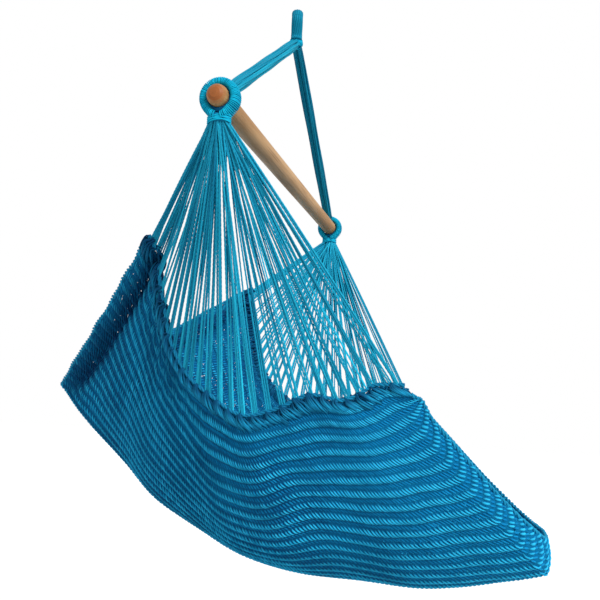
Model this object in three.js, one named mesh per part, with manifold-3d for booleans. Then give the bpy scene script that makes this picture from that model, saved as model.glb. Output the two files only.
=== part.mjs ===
// A hanging hammock chair: a woven cord seat slung between two whipped eyes on the ends of a straight
// wooden spreader bar, under a cord harness that gathers into one hanging loop.
// Millimetres, +Z up. The origin is the point inside the top of the hanging loop where a hook bears.
// The bar runs along X, a sitter faces -Y, and left and right are the sitter's: right is -X.

import * as THREE from 'three';
import { mergeVertices } from 'three/addons/utils/BufferGeometryUtils.js';
import Module from 'manifold-3d';

const wasm = await Module();
wasm.setup();

// Driving dimensions of the whole chair
const HOOK_TO_BAR = 373;
const BAR_LENGTH = 1020;
const BAR_DIAMETER = 35;
const BAR_END_ROUND = 15;
const SEAT_DROP = 820;
const SEAT_REAR_REACH = 507;
const SEAT_FRONT_REACH = 534;
const SEAT_HALF_WIDTH = 322;
const SEAT_THICKNESS = 8;
const SEAT_COLUMNS = 18;
const SEAT_BODY_ROWS = 26;
const SEAT_LIP_ROWS = 4;
const SEAT_ROWS = SEAT_BODY_ROWS + SEAT_LIP_ROWS;

// Clearance that touching pieces keep, and the reach by which a cutting solid overruns what it cuts
const GAP = 0.4;
const OVERRUN = 4;

// Hanging loop and throat knot
const LOOP_ROPE_DIAMETER = 20;
const LOOP_OPENING_WIDTH = 34;
const LOOP_LEG_SPACING = 23;
const LOOP_TO_KNOT = 57;
const LOOP_LOBES = 6;
const KNOT_DIAMETER = 30;
const KNOT_CORD_DIAMETER = 2.6;
const KNOT_TURNS = 6;

// Harness legs
const LEG_CORD_DIAMETER = 7;
const LEG_CORDS = 6;
const LEG_FOOT_INSET = 80;
const LEG_FOOT_HEIGHT = 35;

// Whipped eyes round the bar ends
const EYE_INSET = 30;
const EYE_CORE_WIDTH = 25;
const EYE_CORE_THICKNESS = 8.6;
const EYE_CORD_DIAMETER = 2.8;
const EYE_CORD_STANDOFF = 0.7;
const EYE_TURNS = 10;
const EYE_DROP = 6;

// Collars under the eyes, with their bindings
const SADDLE_RADIUS = 36;
const COLLAR_LENGTH = 36;
const COLLAR_WIDTH = 24;
const COLLAR_HEIGHT = 11;
const COLLAR_CORD_DIAMETER = 3;
const COLLAR_TURNS = 2;

// Fans of strings
const STRING_DIAMETER = 2.6;
const STRINGS_PER_BUNDLE = 8;
const BUNDLE_ROWS = 2;
const BUNDLE_COLUMNS = 3;
const BUNDLE_SPACING = 11.5;
const BUNDLE_NECK_DIAMETER = 8.4;
const BUNDLE_NECK_HEIGHT = 9;
const STRING_END_GAP = 0.5;

// Cords along the edges of the bed
const HEADER_CORD_DIAMETER = 9;
const HEADER_KNOT_DIAMETER = 15;
const EDGE_CORD_DIAMETER = 8;
const EDGE_CORD_SHORTFALL = 20;
const HEM_STANDOFF = 0.9;

// Folds of the hanging cloth: how far each stands out sideways, and how far the rows wave up and down
const REAR_FOLD_DEPTH = 20;
const REAR_LIP_HEIGHT = 6;
const MIDDLE_FOLD_DEPTH = 16;
const MIDDLE_SWELL_HEIGHT = 12;
const FRONT_FOLD_DEPTH = 8;
const ROW_WAVE = 18;

// The front lip: the cloth turns up to its hem at the sides and the keel, and runs on at the headers.
// The left front corner hangs a little further back than the right one.
const LIP_SIDE_HEIGHT = 43;
const LIP_KEEL_HEIGHT = 66;
const LIP_HEADER_REACH = 46;
const LIP_BULGE = 5;
const LEFT_CORNER_LAG = 40;

// Finishes
const WOOD = { color: 0xb98f62, roughness: 0.55, metalness: 0 };
const CORD_TEAL = { color: 0x1a93b4, roughness: 0.8, metalness: 0 };
const CORD_DARK = { color: 0x0f6f9c, roughness: 0.85, metalness: 0 };
const WEAVE_BLUE = { color: 0x1279ab, roughness: 0.9, metalness: 0 };

// Stations of the seat from its rear edge to its front edge, as shares of the reaches, drop and width.
// A positive reach share is to the rear, a negative one to the front.
const headerReachShares = [0.345, 0.32, 0.29, 0.26, 0.193, 0.095, -0.015, -0.133, -0.237, -0.346, -0.449];
const headerDropShares = [0.232, 0.3, 0.385, 0.463, 0.533, 0.58, 0.616, 0.599, 0.568, 0.576, 0.54];
const headerWidthShares = [1.007, 0.978, 0.957, 0.941, 0.932, 0.932, 0.932, 0.925, 0.913, 0.894, 0.872];
const keelReachShares = [0.996, 0.836, 0.659, 0.502, 0.28, 0.067, -0.146, -0.359, -0.573, -0.792, -1];
const keelDropShares = [0.565, 0.669, 0.763, 0.849, 0.915, 0.969, 0.996, 1, 0.996, 0.977, 0.938];
const hollowPowerShares = [0.93, 1.126, 1.35, 1.55, 1.75, 1.9, 2, 2.1, 2.3, 2.8, 3.8];

const barRadius = BAR_DIAMETER / 2;
const knotCentre = new THREE.Vector3(0, 0, -LOOP_TO_KNOT);
const eyeOffset = BAR_LENGTH / 2 - EYE_INSET;

const model = new THREE.Group();

// Adds one named piece to the model.
function addPiece(name, geometry, finish) {
  geometry.computeVertexNormals();
  const piece = new THREE.Mesh(geometry, new THREE.MeshStandardMaterial(finish));
  piece.name = name;
  model.add(piece);
  return piece;
}

// Turns a closed geometry into a solid for joining and cutting.
function toSolid(geometry) {
  const bare = geometry.clone();
  bare.deleteAttribute('normal');
  bare.deleteAttribute('uv');
  const merged = mergeVertices(bare);
  return new wasm.Manifold(new wasm.Mesh({
    numProp: 3,
    vertProperties: new Float32Array(merged.attributes.position.array),
    triVerts: new Uint32Array(merged.index.array),
  }));
}

// Turns a solid back into a geometry.
function toGeometry(solid) {
  const result = solid.getMesh();
  const geometry = new THREE.BufferGeometry();
  geometry.setAttribute('position', new THREE.BufferAttribute(new Float32Array(result.vertProperties), 3));
  geometry.setIndex(new THREE.BufferAttribute(new Uint32Array(result.triVerts), 1));
  return geometry;
}

// Builds a closed body from rings of points, each ring a list of vectors that turns the same way.
function bodyFromRings(rings, closed = false) {
  const sides = rings[0].length;
  const positions = [];
  rings.forEach((ring) => ring.forEach((point) => positions.push(point.x, point.y, point.z)));
  const index = [];
  const last = closed ? rings.length : rings.length - 1;
  for (let i = 0; i < last; i += 1) {
    const here = i * sides;
    const next = ((i + 1) % rings.length) * sides;
    for (let j = 0; j < sides; j += 1) {
      const k = (j + 1) % sides;
      index.push(here + j, here + k, next + k, here + j, next + k, next + j);
    }
  }
  if (!closed) {
    [0, rings.length - 1].forEach((ringIndex) => {
      const centre = new THREE.Vector3();
      rings[ringIndex].forEach((point) => centre.addScaledVector(point, 1 / sides));
      const hub = positions.length / 3;
      positions.push(centre.x, centre.y, centre.z);
      for (let j = 0; j < sides; j += 1) {
        const a = ringIndex * sides + j;
        const b = ringIndex * sides + ((j + 1) % sides);
        if (ringIndex === 0) index.push(hub, b, a);
        else index.push(hub, a, b);
      }
    });
  }
  const geometry = new THREE.BufferGeometry();
  geometry.setAttribute('position', new THREE.BufferAttribute(new Float32Array(positions), 3));
  geometry.setIndex(index);
  return geometry;
}

// Sweeps a round or lobed section along points, turning as little as it can between them.
function sweptTube(points, radiusAt, sides) {
  const tangents = points.map((point, i) => {
    const before = points[Math.max(i - 1, 0)];
    const after = points[Math.min(i + 1, points.length - 1)];
    return after.clone().sub(before).normalize();
  });
  const seed = Math.abs(tangents[0].x) < 0.9 ? new THREE.Vector3(1, 0, 0) : new THREE.Vector3(0, 1, 0);
  let side = seed.addScaledVector(tangents[0], -seed.dot(tangents[0])).normalize();
  const rings = points.map((point, i) => {
    const tangent = tangents[i];
    side = side.clone().addScaledVector(tangent, -side.dot(tangent)).normalize();
    const up = tangent.clone().cross(side);
    const ring = [];
    for (let j = 0; j < sides; j += 1) {
      const angle = (2 * Math.PI * j) / sides;
      const reach = radiusAt(i, j);
      ring.push(point.clone()
        .addScaledVector(side, reach * Math.cos(angle))
        .addScaledVector(up, reach * Math.sin(angle)));
    }
    return ring;
  });
  return bodyFromRings(rings);
}

// A straight rod between two points.
function rod(from, to, radius, sides) {
  return sweptTube([from, to], () => radius, sides);
}

// The least gap that a wound tube keeps to itself, measured on points along its middle line.
function leastSelfGap(points, diameter) {
  const fine = [];
  for (let i = 0; i + 1 < points.length; i += 1) {
    for (let part = 0; part < 4; part += 1) fine.push(points[i].clone().lerp(points[i + 1], part / 4));
  }
  const along = [0];
  for (let i = 1; i < fine.length; i += 1) along.push(along[i - 1] + fine[i].distanceTo(fine[i - 1]));
  let least = Infinity;
  for (let i = 0; i < fine.length; i += 1) {
    for (let j = i + 1; j < fine.length; j += 1) {
      if (along[j] - along[i] > 4 * diameter) least = Math.min(least, fine[i].distanceTo(fine[j]));
    }
  }
  return least - diameter;
}

function reportGap(name, points, diameter) {
  console.log(`${name}: least gap to itself ${leastSelfGap(points, diameter).toFixed(2)} mm`);
}

// Spreader bar, a turned rod with rounded ends.
function makeBar() {
  const half = BAR_LENGTH / 2;
  const profile = [new THREE.Vector2(0, -half)];
  const roundSteps = 4;
  for (let i = 0; i <= roundSteps; i += 1) {
    const angle = (i / roundSteps) * (Math.PI / 2);
    profile.push(new THREE.Vector2(
      barRadius - BAR_END_ROUND + BAR_END_ROUND * Math.sin(angle),
      -half + BAR_END_ROUND - BAR_END_ROUND * Math.cos(angle),
    ));
  }
  for (let i = roundSteps + 1; i > 0; i -= 1) profile.push(new THREE.Vector2(profile[i].x, -profile[i].y));
  profile.push(new THREE.Vector2(0, half));
  const bar = addPiece('spreader_bar', new THREE.LatheGeometry(profile, 28), WOOD);
  bar.rotation.z = -Math.PI / 2;
  bar.position.z = -HOOK_TO_BAR;
}

// The ball that the cords end against where the knot sits among them.
function knotSeat() {
  const sides = 20;
  const ball = new THREE.SphereGeometry((KNOT_DIAMETER / 2 + GAP) / Math.cos(Math.PI / sides), sides, sides);
  ball.translate(knotCentre.x, knotCentre.y, knotCentre.z);
  return toSolid(ball);
}

// Hanging loop: the bundled cords rise from the knot, pass over the hook and come down again.
function makeHangingLoop() {
  const ropeRadius = LOOP_ROPE_DIAMETER / 2;
  const bend = LOOP_OPENING_WIDTH / 2 + ropeRadius;
  const bendHeight = ropeRadius - bend;
  const foot = new THREE.Vector3(-LOOP_LEG_SPACING / 2, 0, knotCentre.z + KNOT_DIAMETER * 0.35);
  const rise = new THREE.Vector3(-LOOP_LEG_SPACING / 2, 0, knotCentre.z + KNOT_DIAMETER / 2);
  const leftHalf = [foot, rise];
  const arcPoints = 6;
  for (let i = 0; i < arcPoints; i += 1) {
    const angle = Math.PI - (i / arcPoints) * (Math.PI / 2);
    leftHalf.push(new THREE.Vector3(bend * Math.cos(angle), 0, bendHeight + bend * Math.sin(angle)));
  }
  const rightHalf = leftHalf.map((point) => new THREE.Vector3(-point.x, 0, point.z)).reverse();
  const route = [...leftHalf, new THREE.Vector3(0, 0, ropeRadius), ...rightHalf];
  const curve = new THREE.CatmullRomCurve3(route, false, 'centripetal');
  const lobeDip = 0.84;
  const loop = toSolid(sweptTube(
    curve.getSpacedPoints(20),
    (i, j) => (j % 2 === 0 ? ropeRadius : ropeRadius * lobeDip),
    LOOP_LOBES * 2,
  ));
  addPiece('hanging_loop', toGeometry(loop.subtract(knotSeat())), CORD_TEAL);
}

// Throat knot: a ball core with a cord wound round it from top to bottom.
function makeThroatKnot() {
  const stepsPerTurn = 12;
  const cordRadius = KNOT_CORD_DIAMETER / 2;
  const windRadius = KNOT_DIAMETER / 2 - cordRadius;
  const coreRadius = windRadius * Math.cos(Math.PI / stepsPerTurn) - cordRadius - GAP;
  const core = new THREE.SphereGeometry(coreRadius, 14, 10);
  core.rotateX(Math.PI / 2);
  core.translate(knotCentre.x, knotCentre.y, knotCentre.z);
  addPiece('throat_knot', core, CORD_DARK);
  const reachShare = 0.8;
  const points = [];
  for (let i = 0; i <= KNOT_TURNS * stepsPerTurn; i += 1) {
    const turn = (2 * Math.PI * i) / stepsPerTurn;
    const tilt = (1 - (2 * i) / (KNOT_TURNS * stepsPerTurn)) * reachShare * (Math.PI / 2);
    points.push(new THREE.Vector3(
      windRadius * Math.cos(tilt) * Math.cos(turn),
      windRadius * Math.cos(tilt) * Math.sin(turn),
      knotCentre.z + windRadius * Math.sin(tilt),
    ));
  }
  reportGap('throat_binding', points, KNOT_CORD_DIAMETER);
  addPiece('throat_binding', sweptTube(points, () => cordRadius, 5), CORD_TEAL);
}

// Where a leg's cords end, at the shoulder of its eye.
function legFoot(side) {
  return new THREE.Vector3(side * (BAR_LENGTH / 2 - LEG_FOOT_INSET), 0, -HOOK_TO_BAR + LEG_FOOT_HEIGHT);
}

// Harness leg: parallel cords from the throat knot to the shoulder of the eye.
function makeLeg(side, sideName) {
  const foot = legFoot(side);
  const along = foot.clone().sub(knotCentre).normalize();
  const across = new THREE.Vector3(0, 1, 0);
  const up = along.clone().cross(across);
  const ringRadius = LEG_CORD_DIAMETER + GAP;
  const seat = knotSeat();
  for (let i = 0; i < LEG_CORDS; i += 1) {
    const angle = (2 * Math.PI * i) / LEG_CORDS;
    const shift = across.clone().multiplyScalar(ringRadius * Math.cos(angle))
      .addScaledVector(up, ringRadius * Math.sin(angle));
    const top = knotCentre.clone().addScaledVector(along, KNOT_DIAMETER / 4).add(shift);
    const bottom = foot.clone().addScaledVector(along, -GAP).add(shift);
    const cord = toSolid(rod(top, bottom, LEG_CORD_DIAMETER / 2, 8)).subtract(seat);
    addPiece(`${sideName}_leg_cord_${i + 1}`, toGeometry(cord), CORD_TEAL);
  }
}

// The eye's middle line, in its own plane, by the angle from the top of the bar: a circle round the bar
// that drops to a point under it.
function eyeRadius(angle) {
  const dropStart = (2.2 / 3) * Math.PI;
  const cordRadius = EYE_CORD_DIAMETER / 2;
  const round = barRadius + GAP + 2 * cordRadius + EYE_CORD_STANDOFF + EYE_CORE_THICKNESS / 2;
  const share = Math.max(0, (Math.abs(angle) - dropStart) / (Math.PI - dropStart));
  return round + EYE_DROP * share * share * (3 - 2 * share);
}

function eyePoint(side, angle, out, sideways) {
  const reach = eyeRadius(angle) + out;
  return new THREE.Vector3(
    side * eyeOffset + sideways,
    reach * Math.sin(angle),
    -HOOK_TO_BAR + reach * Math.cos(angle),
  );
}

// Eye core: the bundled cords that go round the bar end, with the shoulder that the leg runs into.
function makeEyeCore(side, sideName) {
  const steps = 32;
  const flatShare = Math.cos(Math.PI / 8);
  const halfOut = EYE_CORE_THICKNESS / 2 / flatShare;
  const halfWide = EYE_CORE_WIDTH / 2 / flatShare;
  const rings = [];
  for (let i = 0; i < steps; i += 1) {
    const angle = -Math.PI + (2 * Math.PI * i) / steps;
    const ring = [];
    for (let j = 0; j < 8; j += 1) {
      const turn = (2 * Math.PI * (j + 0.5)) / 8;
      ring.push(eyePoint(side, angle, halfOut * Math.cos(turn), halfWide * Math.sin(turn)));
    }
    rings.push(ring);
  }
  let core = toSolid(bodyFromRings(rings, true));

  const foot = legFoot(side);
  const along = foot.clone().sub(knotCentre).normalize();
  const crown = eyePoint(side, 0, 0, 0);
  const legRadius = LEG_CORD_DIAMETER * 1.5 + GAP;
  const shoulderLine = new THREE.CatmullRomCurve3([
    foot,
    foot.clone().addScaledVector(along, LEG_CORD_DIAMETER),
    crown.clone().lerp(foot, 0.35),
    crown,
  ]);
  const shoulderSteps = 7;
  const neckDown = EYE_CORE_THICKNESS * 0.9;
  const shoulder = toSolid(sweptTube(
    shoulderLine.getSpacedPoints(shoulderSteps),
    (i) => legRadius + (neckDown - legRadius) * (i / shoulderSteps),
    10,
  ));
  core = core.add(shoulder);

  const bore = toSolid(rod(
    new THREE.Vector3(side * eyeOffset - BAR_LENGTH / 8, 0, -HOOK_TO_BAR),
    new THREE.Vector3(side * eyeOffset + BAR_LENGTH / 8, 0, -HOOK_TO_BAR),
    barRadius + GAP + EYE_CORD_STANDOFF,
    32,
  ));
  const keep = toSolid(rod(
    new THREE.Vector3(side * eyeOffset - BAR_LENGTH / 8, 0, -HOOK_TO_BAR),
    new THREE.Vector3(side * eyeOffset + BAR_LENGTH / 8, 0, -HOOK_TO_BAR),
    SADDLE_RADIUS - GAP,
    40,
  ));
  const lowerHalf = new THREE.BoxGeometry(BAR_LENGTH / 4, 2 * SADDLE_RADIUS, 2 * SADDLE_RADIUS);
  lowerHalf.translate(side * eyeOffset, 0, -HOOK_TO_BAR - SADDLE_RADIUS);
  const trimmings = toSolid(lowerHalf).subtract(keep);
  addPiece(`${sideName}_eye_core`, toGeometry(core.subtract(bore).subtract(trimmings)), CORD_DARK);
}

// Eye whipping: a cord wound round one limb of the eye, from the shoulder down to the collar.
function makeEyeWhipping(side, sideName, limb, limbName) {
  const stepsPerTurn = 8;
  const flatShare = Math.cos(Math.PI / 8);
  const cordRadius = EYE_CORD_DIAMETER / 2;
  const halfOut = (EYE_CORE_THICKNESS / 2 + EYE_CORD_STANDOFF + cordRadius) / flatShare;
  const halfWide = (EYE_CORE_WIDTH / 2 + EYE_CORD_STANDOFF + cordRadius) / flatShare;
  const startAngle = Math.PI * 0.25;
  const endAngle = Math.PI * 0.83;
  const total = EYE_TURNS * stepsPerTurn;
  const points = [];
  for (let i = 0; i <= total; i += 1) {
    const angle = limb * (startAngle + ((endAngle - startAngle) * i) / total);
    const turn = (2 * Math.PI * (i + 0.5)) / stepsPerTurn;
    points.push(eyePoint(side, angle, halfOut * Math.cos(turn), halfWide * Math.sin(turn)));
  }
  const name = `${sideName}_eye_${limbName}_whipping`;
  reportGap(name, points, EYE_CORD_DIAMETER);
  addPiece(name, sweptTube(points, () => cordRadius, 5), CORD_TEAL);
}

// Collar: the bound neck that saddles the eye and swings round the bar with the seat.
function makeCollar(side, sideName) {
  const outline = new THREE.Shape();
  outline.absellipse(0, 0, COLLAR_WIDTH / 2, COLLAR_LENGTH / 2, 0, 2 * Math.PI);
  const rise = SADDLE_RADIUS / 4;
  const body = new THREE.ExtrudeGeometry(outline, {
    depth: COLLAR_HEIGHT + rise,
    bevelEnabled: false,
    curveSegments: 10,
  });
  const collarFoot = -HOOK_TO_BAR - SADDLE_RADIUS - COLLAR_HEIGHT;
  body.translate(side * eyeOffset, 0, collarFoot);
  const saddle = toSolid(rod(
    new THREE.Vector3(side * eyeOffset - COLLAR_WIDTH, 0, -HOOK_TO_BAR),
    new THREE.Vector3(side * eyeOffset + COLLAR_WIDTH, 0, -HOOK_TO_BAR),
    SADDLE_RADIUS + OVERRUN / 8,
    40,
  ));
  addPiece(`${sideName}_eye_collar`, toGeometry(toSolid(body).subtract(saddle)), CORD_DARK);

  const stepsPerTurn = 14;
  const cordRadius = COLLAR_CORD_DIAMETER / 2;
  const pitch = COLLAR_CORD_DIAMETER + GAP + cordRadius / 4;
  const spread = (cordRadius + GAP) / Math.cos(Math.PI / stepsPerTurn) + cordRadius / 2;
  const total = COLLAR_TURNS * stepsPerTurn;
  const points = [];
  for (let i = 0; i <= total; i += 1) {
    const turn = (2 * Math.PI * i) / stepsPerTurn;
    points.push(new THREE.Vector3(
      side * eyeOffset + (COLLAR_WIDTH / 2 + spread) * Math.cos(turn),
      (COLLAR_LENGTH / 2 + spread) * Math.sin(turn),
      collarFoot + cordRadius + (pitch * i) / stepsPerTurn,
    ));
  }
  reportGap(`${sideName}_collar_binding`, points, COLLAR_CORD_DIAMETER);
  addPiece(`${sideName}_collar_binding`, sweptTube(points, () => cordRadius, 5), CORD_TEAL);
}

// Reads a list of station shares at a place from 0, the rear edge, to 1, the front edge.
function stationShare(shares, place) {
  const at = Math.min(Math.max(place, 0), 1) * (shares.length - 1);
  const i = Math.min(Math.floor(at), shares.length - 2);
  const f = at - i;
  const p1 = shares[i];
  const p2 = shares[i + 1];
  const p0 = i > 0 ? shares[i - 1] : 2 * p1 - p2;
  const p3 = i + 2 < shares.length ? shares[i + 2] : 2 * p2 - p1;
  return 0.5 * (2 * p1 + (p2 - p0) * f + (2 * p0 - 5 * p1 + 4 * p2 - p3) * f * f
    + (3 * p1 - p0 - 3 * p2 + p3) * f * f * f);
}

function reachOf(share) {
  return share > 0 ? share * SEAT_REAR_REACH : share * SEAT_FRONT_REACH;
}

function bump(place, middle, width) {
  return Math.exp(-(((place - middle) / width) ** 2));
}

// The hollow of the seat at one station, from its keel, 0, to its header, 1, evenly along the cloth.
function hollowShare(place, out) {
  const power = stationShare(hollowPowerShares, place);
  const width = stationShare(headerWidthShares, place) * SEAT_HALF_WIDTH;
  const drop = (stationShare(keelDropShares, place) - stationShare(headerDropShares, place)) * SEAT_DROP;
  const back = reachOf(stationShare(headerReachShares, place)) - reachOf(stationShare(keelReachShares, place));
  const pieces = 40;
  const along = [0];
  for (let i = 1; i <= pieces; i += 1) {
    const rise = (i / pieces) ** power - ((i - 1) / pieces) ** power;
    along.push(along[i - 1] + Math.hypot(width / pieces, rise * drop, rise * back));
  }
  const target = out * along[pieces];
  let i = 1;
  while (i < pieces && along[i] < target) i += 1;
  return (i - 1 + (target - along[i - 1]) / (along[i] - along[i - 1])) / pieces;
}

function easedStep(value) {
  const clamped = Math.min(Math.max(value, 0), 1);
  return clamped * clamped * (3 - 2 * clamped);
}

// Rows of the cloth run from header to header, closer together at the rear and in the front lip.
const lipStartShare = 0.94;

function rowPlace(row) {
  if (row > SEAT_BODY_ROWS) {
    return lipStartShare + ((1 - lipStartShare) * (row - SEAT_BODY_ROWS)) / SEAT_LIP_ROWS;
  }
  const rearCrowding = 0.35;
  const even = row / SEAT_BODY_ROWS;
  return lipStartShare * (even * (1 - rearCrowding) + rearCrowding * even * even);
}

// Columns of the cloth run from its rear edge to its front edge.
function columnAcross(column) {
  return -1 + (2 * column) / SEAT_COLUMNS;
}

// The middle surface of the cloth. across runs from -1, the right header, to 1, the left one.
function seatPoint(across, along) {
  const place = Math.min(along / lipStartShare, 1);
  const lip = Math.max(along - lipStartShare, 0) / (1 - lipStartShare);
  const out = Math.min(Math.abs(across), 1);
  const side = across < 0 ? -1 : 1;
  const share = hollowShare(place, out);
  const rise = share ** stationShare(hollowPowerShares, place);
  const headerReach = reachOf(stationShare(headerReachShares, place));
  const keelReach = reachOf(stationShare(keelReachShares, place));
  const headerDrop = stationShare(headerDropShares, place) * SEAT_DROP;
  const keelDrop = stationShare(keelDropShares, place) * SEAT_DROP;
  const width = stationShare(headerWidthShares, place) * SEAT_HALF_WIDTH;

  const slack = Math.sin(Math.PI * out) ** 0.8;
  const hem = Math.min(1, out * 4);
  const fold = slack * (MIDDLE_SWELL_HEIGHT * bump(place, 0.6, 0.09)
    - MIDDLE_FOLD_DEPTH * bump(place, 0.43, 0.05) - FRONT_FOLD_DEPTH * bump(place, 0.78, 0.05))
    + hem * (REAR_LIP_HEIGHT * bump(place, 0.02, 0.03) - REAR_FOLD_DEPTH * bump(place, 0.085, 0.03));
  const wave = slack * ROW_WAVE * (0.75 * bump(place, 0.66, 0.07) + 0.4 * bump(place, 0.92, 0.04)
    - bump(place, 0.44, 0.07) - 0.6 * bump(place, 0.8, 0.05));
  const lipRise = (LIP_KEEL_HEIGHT + (LIP_SIDE_HEIGHT - LIP_KEEL_HEIGHT) * easedStep(out * 2))
    * (1 - easedStep(out * 5 - 4)) * lip ** 1.2;
  const lipForward = LIP_HEADER_REACH * easedStep(out * 4 - 3) * lip
    + LIP_BULGE * Math.sin(Math.PI * lip) * (1 - easedStep(out * 5 - 4));
  const lag = side > 0 ? LEFT_CORNER_LAG * out * place * place : 0;
  return new THREE.Vector3(
    side * (width * share + fold),
    keelReach + (headerReach - keelReach) * rise - lipForward + lag,
    -HOOK_TO_BAR - keelDrop + (keelDrop - headerDrop) * rise + wave + lipRise,
  );
}

// Directions in the cloth at one place: towards the left header, towards the front, and out of it.
function seatFrame(across, place) {
  const step = 0.004;
  const a0 = Math.max(across - step, -1);
  const a1 = Math.min(across + step, 1);
  const p0 = Math.max(place - step, 0);
  const p1 = Math.min(place + step, 1);
  const leftwards = seatPoint(a1, place).sub(seatPoint(a0, place)).normalize();
  const forwards = seatPoint(across, p1).sub(seatPoint(across, p0)).normalize();
  const outwards = leftwards.clone().cross(forwards).normalize();
  return { leftwards, forwards, outwards };
}

// The middle line of a header cord, just outside the cloth.
function headerPoint(side, place) {
  const frame = seatFrame(side, place);
  const outer = frame.leftwards.clone().multiplyScalar(side);
  outer.addScaledVector(frame.forwards, -outer.dot(frame.forwards)).normalize();
  return seatPoint(side, place).addScaledVector(outer, HEADER_KNOT_DIAMETER / 2 + HEM_STANDOFF);
}

// Header cord: it swells between the rows of the cloth, where the strings meet the weave.
function headerTube(side, spare) {
  const points = [headerPoint(side, 0)];
  for (let row = 1; row <= SEAT_ROWS; row += 1) {
    const next = headerPoint(side, rowPlace(row));
    points.push(points[points.length - 1].clone().lerp(next, 0.5), next);
  }
  const diameters = [HEADER_CORD_DIAMETER, HEADER_KNOT_DIAMETER];
  return sweptTube(points, (i) => diameters[i % 2] / 2 + spare, 6);
}

// Edge cord along the rear, place 0, or the front, place 1, of the cloth.
function edgeTube(place) {
  const radius = EDGE_CORD_DIAMETER / 2;
  const points = [];
  for (let column = 0; column <= SEAT_COLUMNS; column += 1) {
    const across = columnAcross(column);
    const frame = seatFrame(across, place);
    const outer = frame.forwards.clone().multiplyScalar(place > 0 ? 1 : -1);
    outer.addScaledVector(frame.leftwards, -outer.dot(frame.leftwards)).normalize();
    points.push(seatPoint(across, place).addScaledVector(outer, radius + HEM_STANDOFF));
  }
  const trim = EDGE_CORD_SHORTFALL / points[0].distanceTo(points[1]);
  points[0].lerp(points[1], trim);
  points[SEAT_COLUMNS].lerp(points[SEAT_COLUMNS - 1], trim);
  return sweptTube(points, () => radius, 6);
}

// Seat bed: one closed sheet of cloth with its main folds.
function makeSeatBed() {
  const half = SEAT_THICKNESS / 2;
  const positions = [];
  const layers = [half, -half];
  layers.forEach((offset) => {
    for (let i = 0; i <= SEAT_ROWS; i += 1) {
      for (let j = 0; j <= SEAT_COLUMNS; j += 1) {
        const point = seatPoint(columnAcross(j), rowPlace(i));
        point.addScaledVector(seatFrame(columnAcross(j), rowPlace(i)).outwards, offset);
        positions.push(point.x, point.y, point.z);
      }
    }
  });
  const row = SEAT_COLUMNS + 1;
  const layer = row * (SEAT_ROWS + 1);
  const index = [];
  for (let i = 0; i < SEAT_ROWS; i += 1) {
    for (let j = 0; j < SEAT_COLUMNS; j += 1) {
      const a = i * row + j;
      index.push(a, a + 1, a + row + 1, a, a + row + 1, a + row);
      index.push(layer + a, layer + a + row + 1, layer + a + 1, layer + a, layer + a + row, layer + a + row + 1);
    }
  }
  const rim = [];
  for (let j = 0; j < SEAT_COLUMNS; j += 1) rim.push(j);
  for (let i = 0; i < SEAT_ROWS; i += 1) rim.push(i * row + SEAT_COLUMNS);
  for (let j = SEAT_COLUMNS; j > 0; j -= 1) rim.push(SEAT_ROWS * row + j);
  for (let i = SEAT_ROWS; i > 0; i -= 1) rim.push(i * row);
  rim.forEach((a, i) => {
    const b = rim[(i + 1) % rim.length];
    index.push(b, a, layer + a, b, layer + a, layer + b);
  });
  const geometry = new THREE.BufferGeometry();
  geometry.setAttribute('position', new THREE.BufferAttribute(new Float32Array(positions), 3));
  geometry.setIndex(index);
  addPiece('seat_bed', geometry, WEAVE_BLUE);
}

// Fan: bundles of strings from under the collar to the header cord.
function makeFan(side, sideName) {
  const header = toSolid(headerTube(side, STRING_END_GAP));
  const bundles = BUNDLE_ROWS * BUNDLE_COLUMNS;
  const strings = bundles * STRINGS_PER_BUNDLE;
  const neckTop = -HOOK_TO_BAR - SADDLE_RADIUS - COLLAR_HEIGHT - GAP;
  for (let bundle = 0; bundle < bundles; bundle += 1) {
    const column = Math.floor(bundle / BUNDLE_ROWS);
    const row = bundle % BUNDLE_ROWS;
    const neckX = side * (eyeOffset + BUNDLE_SPACING * ((BUNDLE_ROWS - 1) / 2 - row));
    const neckY = BUNDLE_SPACING * ((BUNDLE_COLUMNS - 1) / 2 - column);
    const root = new THREE.Vector3(neckX, neckY, neckTop - BUNDLE_NECK_HEIGHT / 2);
    let solid = toSolid(sweptTube(
      [
        new THREE.Vector3(neckX, neckY, neckTop),
        new THREE.Vector3(neckX, neckY, neckTop - BUNDLE_NECK_HEIGHT),
      ],
      (i) => (BUNDLE_NECK_DIAMETER / 2) * (i === 0 ? 1 : 0.8),
      8,
    ));
    for (let i = 0; i < STRINGS_PER_BUNDLE; i += 1) {
      const place = (bundle * STRINGS_PER_BUNDLE + i + 0.5) / strings;
      const string = toSolid(rod(root, headerPoint(side, place), STRING_DIAMETER / 2, 5)).subtract(header);
      const kept = string.decompose().sort((a, b) => b.volume() - a.volume())[0];
      solid = solid.add(kept);
    }
    addPiece(`${sideName}_fan_${bundle + 1}`, toGeometry(solid), CORD_TEAL);
  }
}

makeHangingLoop();
makeThroatKnot();
makeBar();
[[-1, 'right'], [1, 'left']].forEach(([side, sideName]) => {
  makeLeg(side, sideName);
  makeEyeCore(side, sideName);
  makeEyeWhipping(side, sideName, 1, 'rear');
  makeEyeWhipping(side, sideName, -1, 'front');
  makeCollar(side, sideName);
  makeFan(side, sideName);
  addPiece(`${sideName}_header_cord`, headerTube(side, 0), CORD_DARK);
});
makeSeatBed();
addPiece('rear_edge_cord', edgeTube(0), CORD_TEAL);
addPiece('front_edge_cord', edgeTube(1), CORD_TEAL);

export default model;
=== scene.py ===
"""Looks of the hammock chair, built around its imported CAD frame.

All lengths are in metres, in the frame's own axes: the bar lies along X, the sitter faces -Y and
the hook bears on the origin.
"""

from __future__ import annotations

import logging
import math
from dataclasses import dataclass, field
from enum import Enum

import bpy
import numpy as np
from mathutils import Matrix

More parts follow.
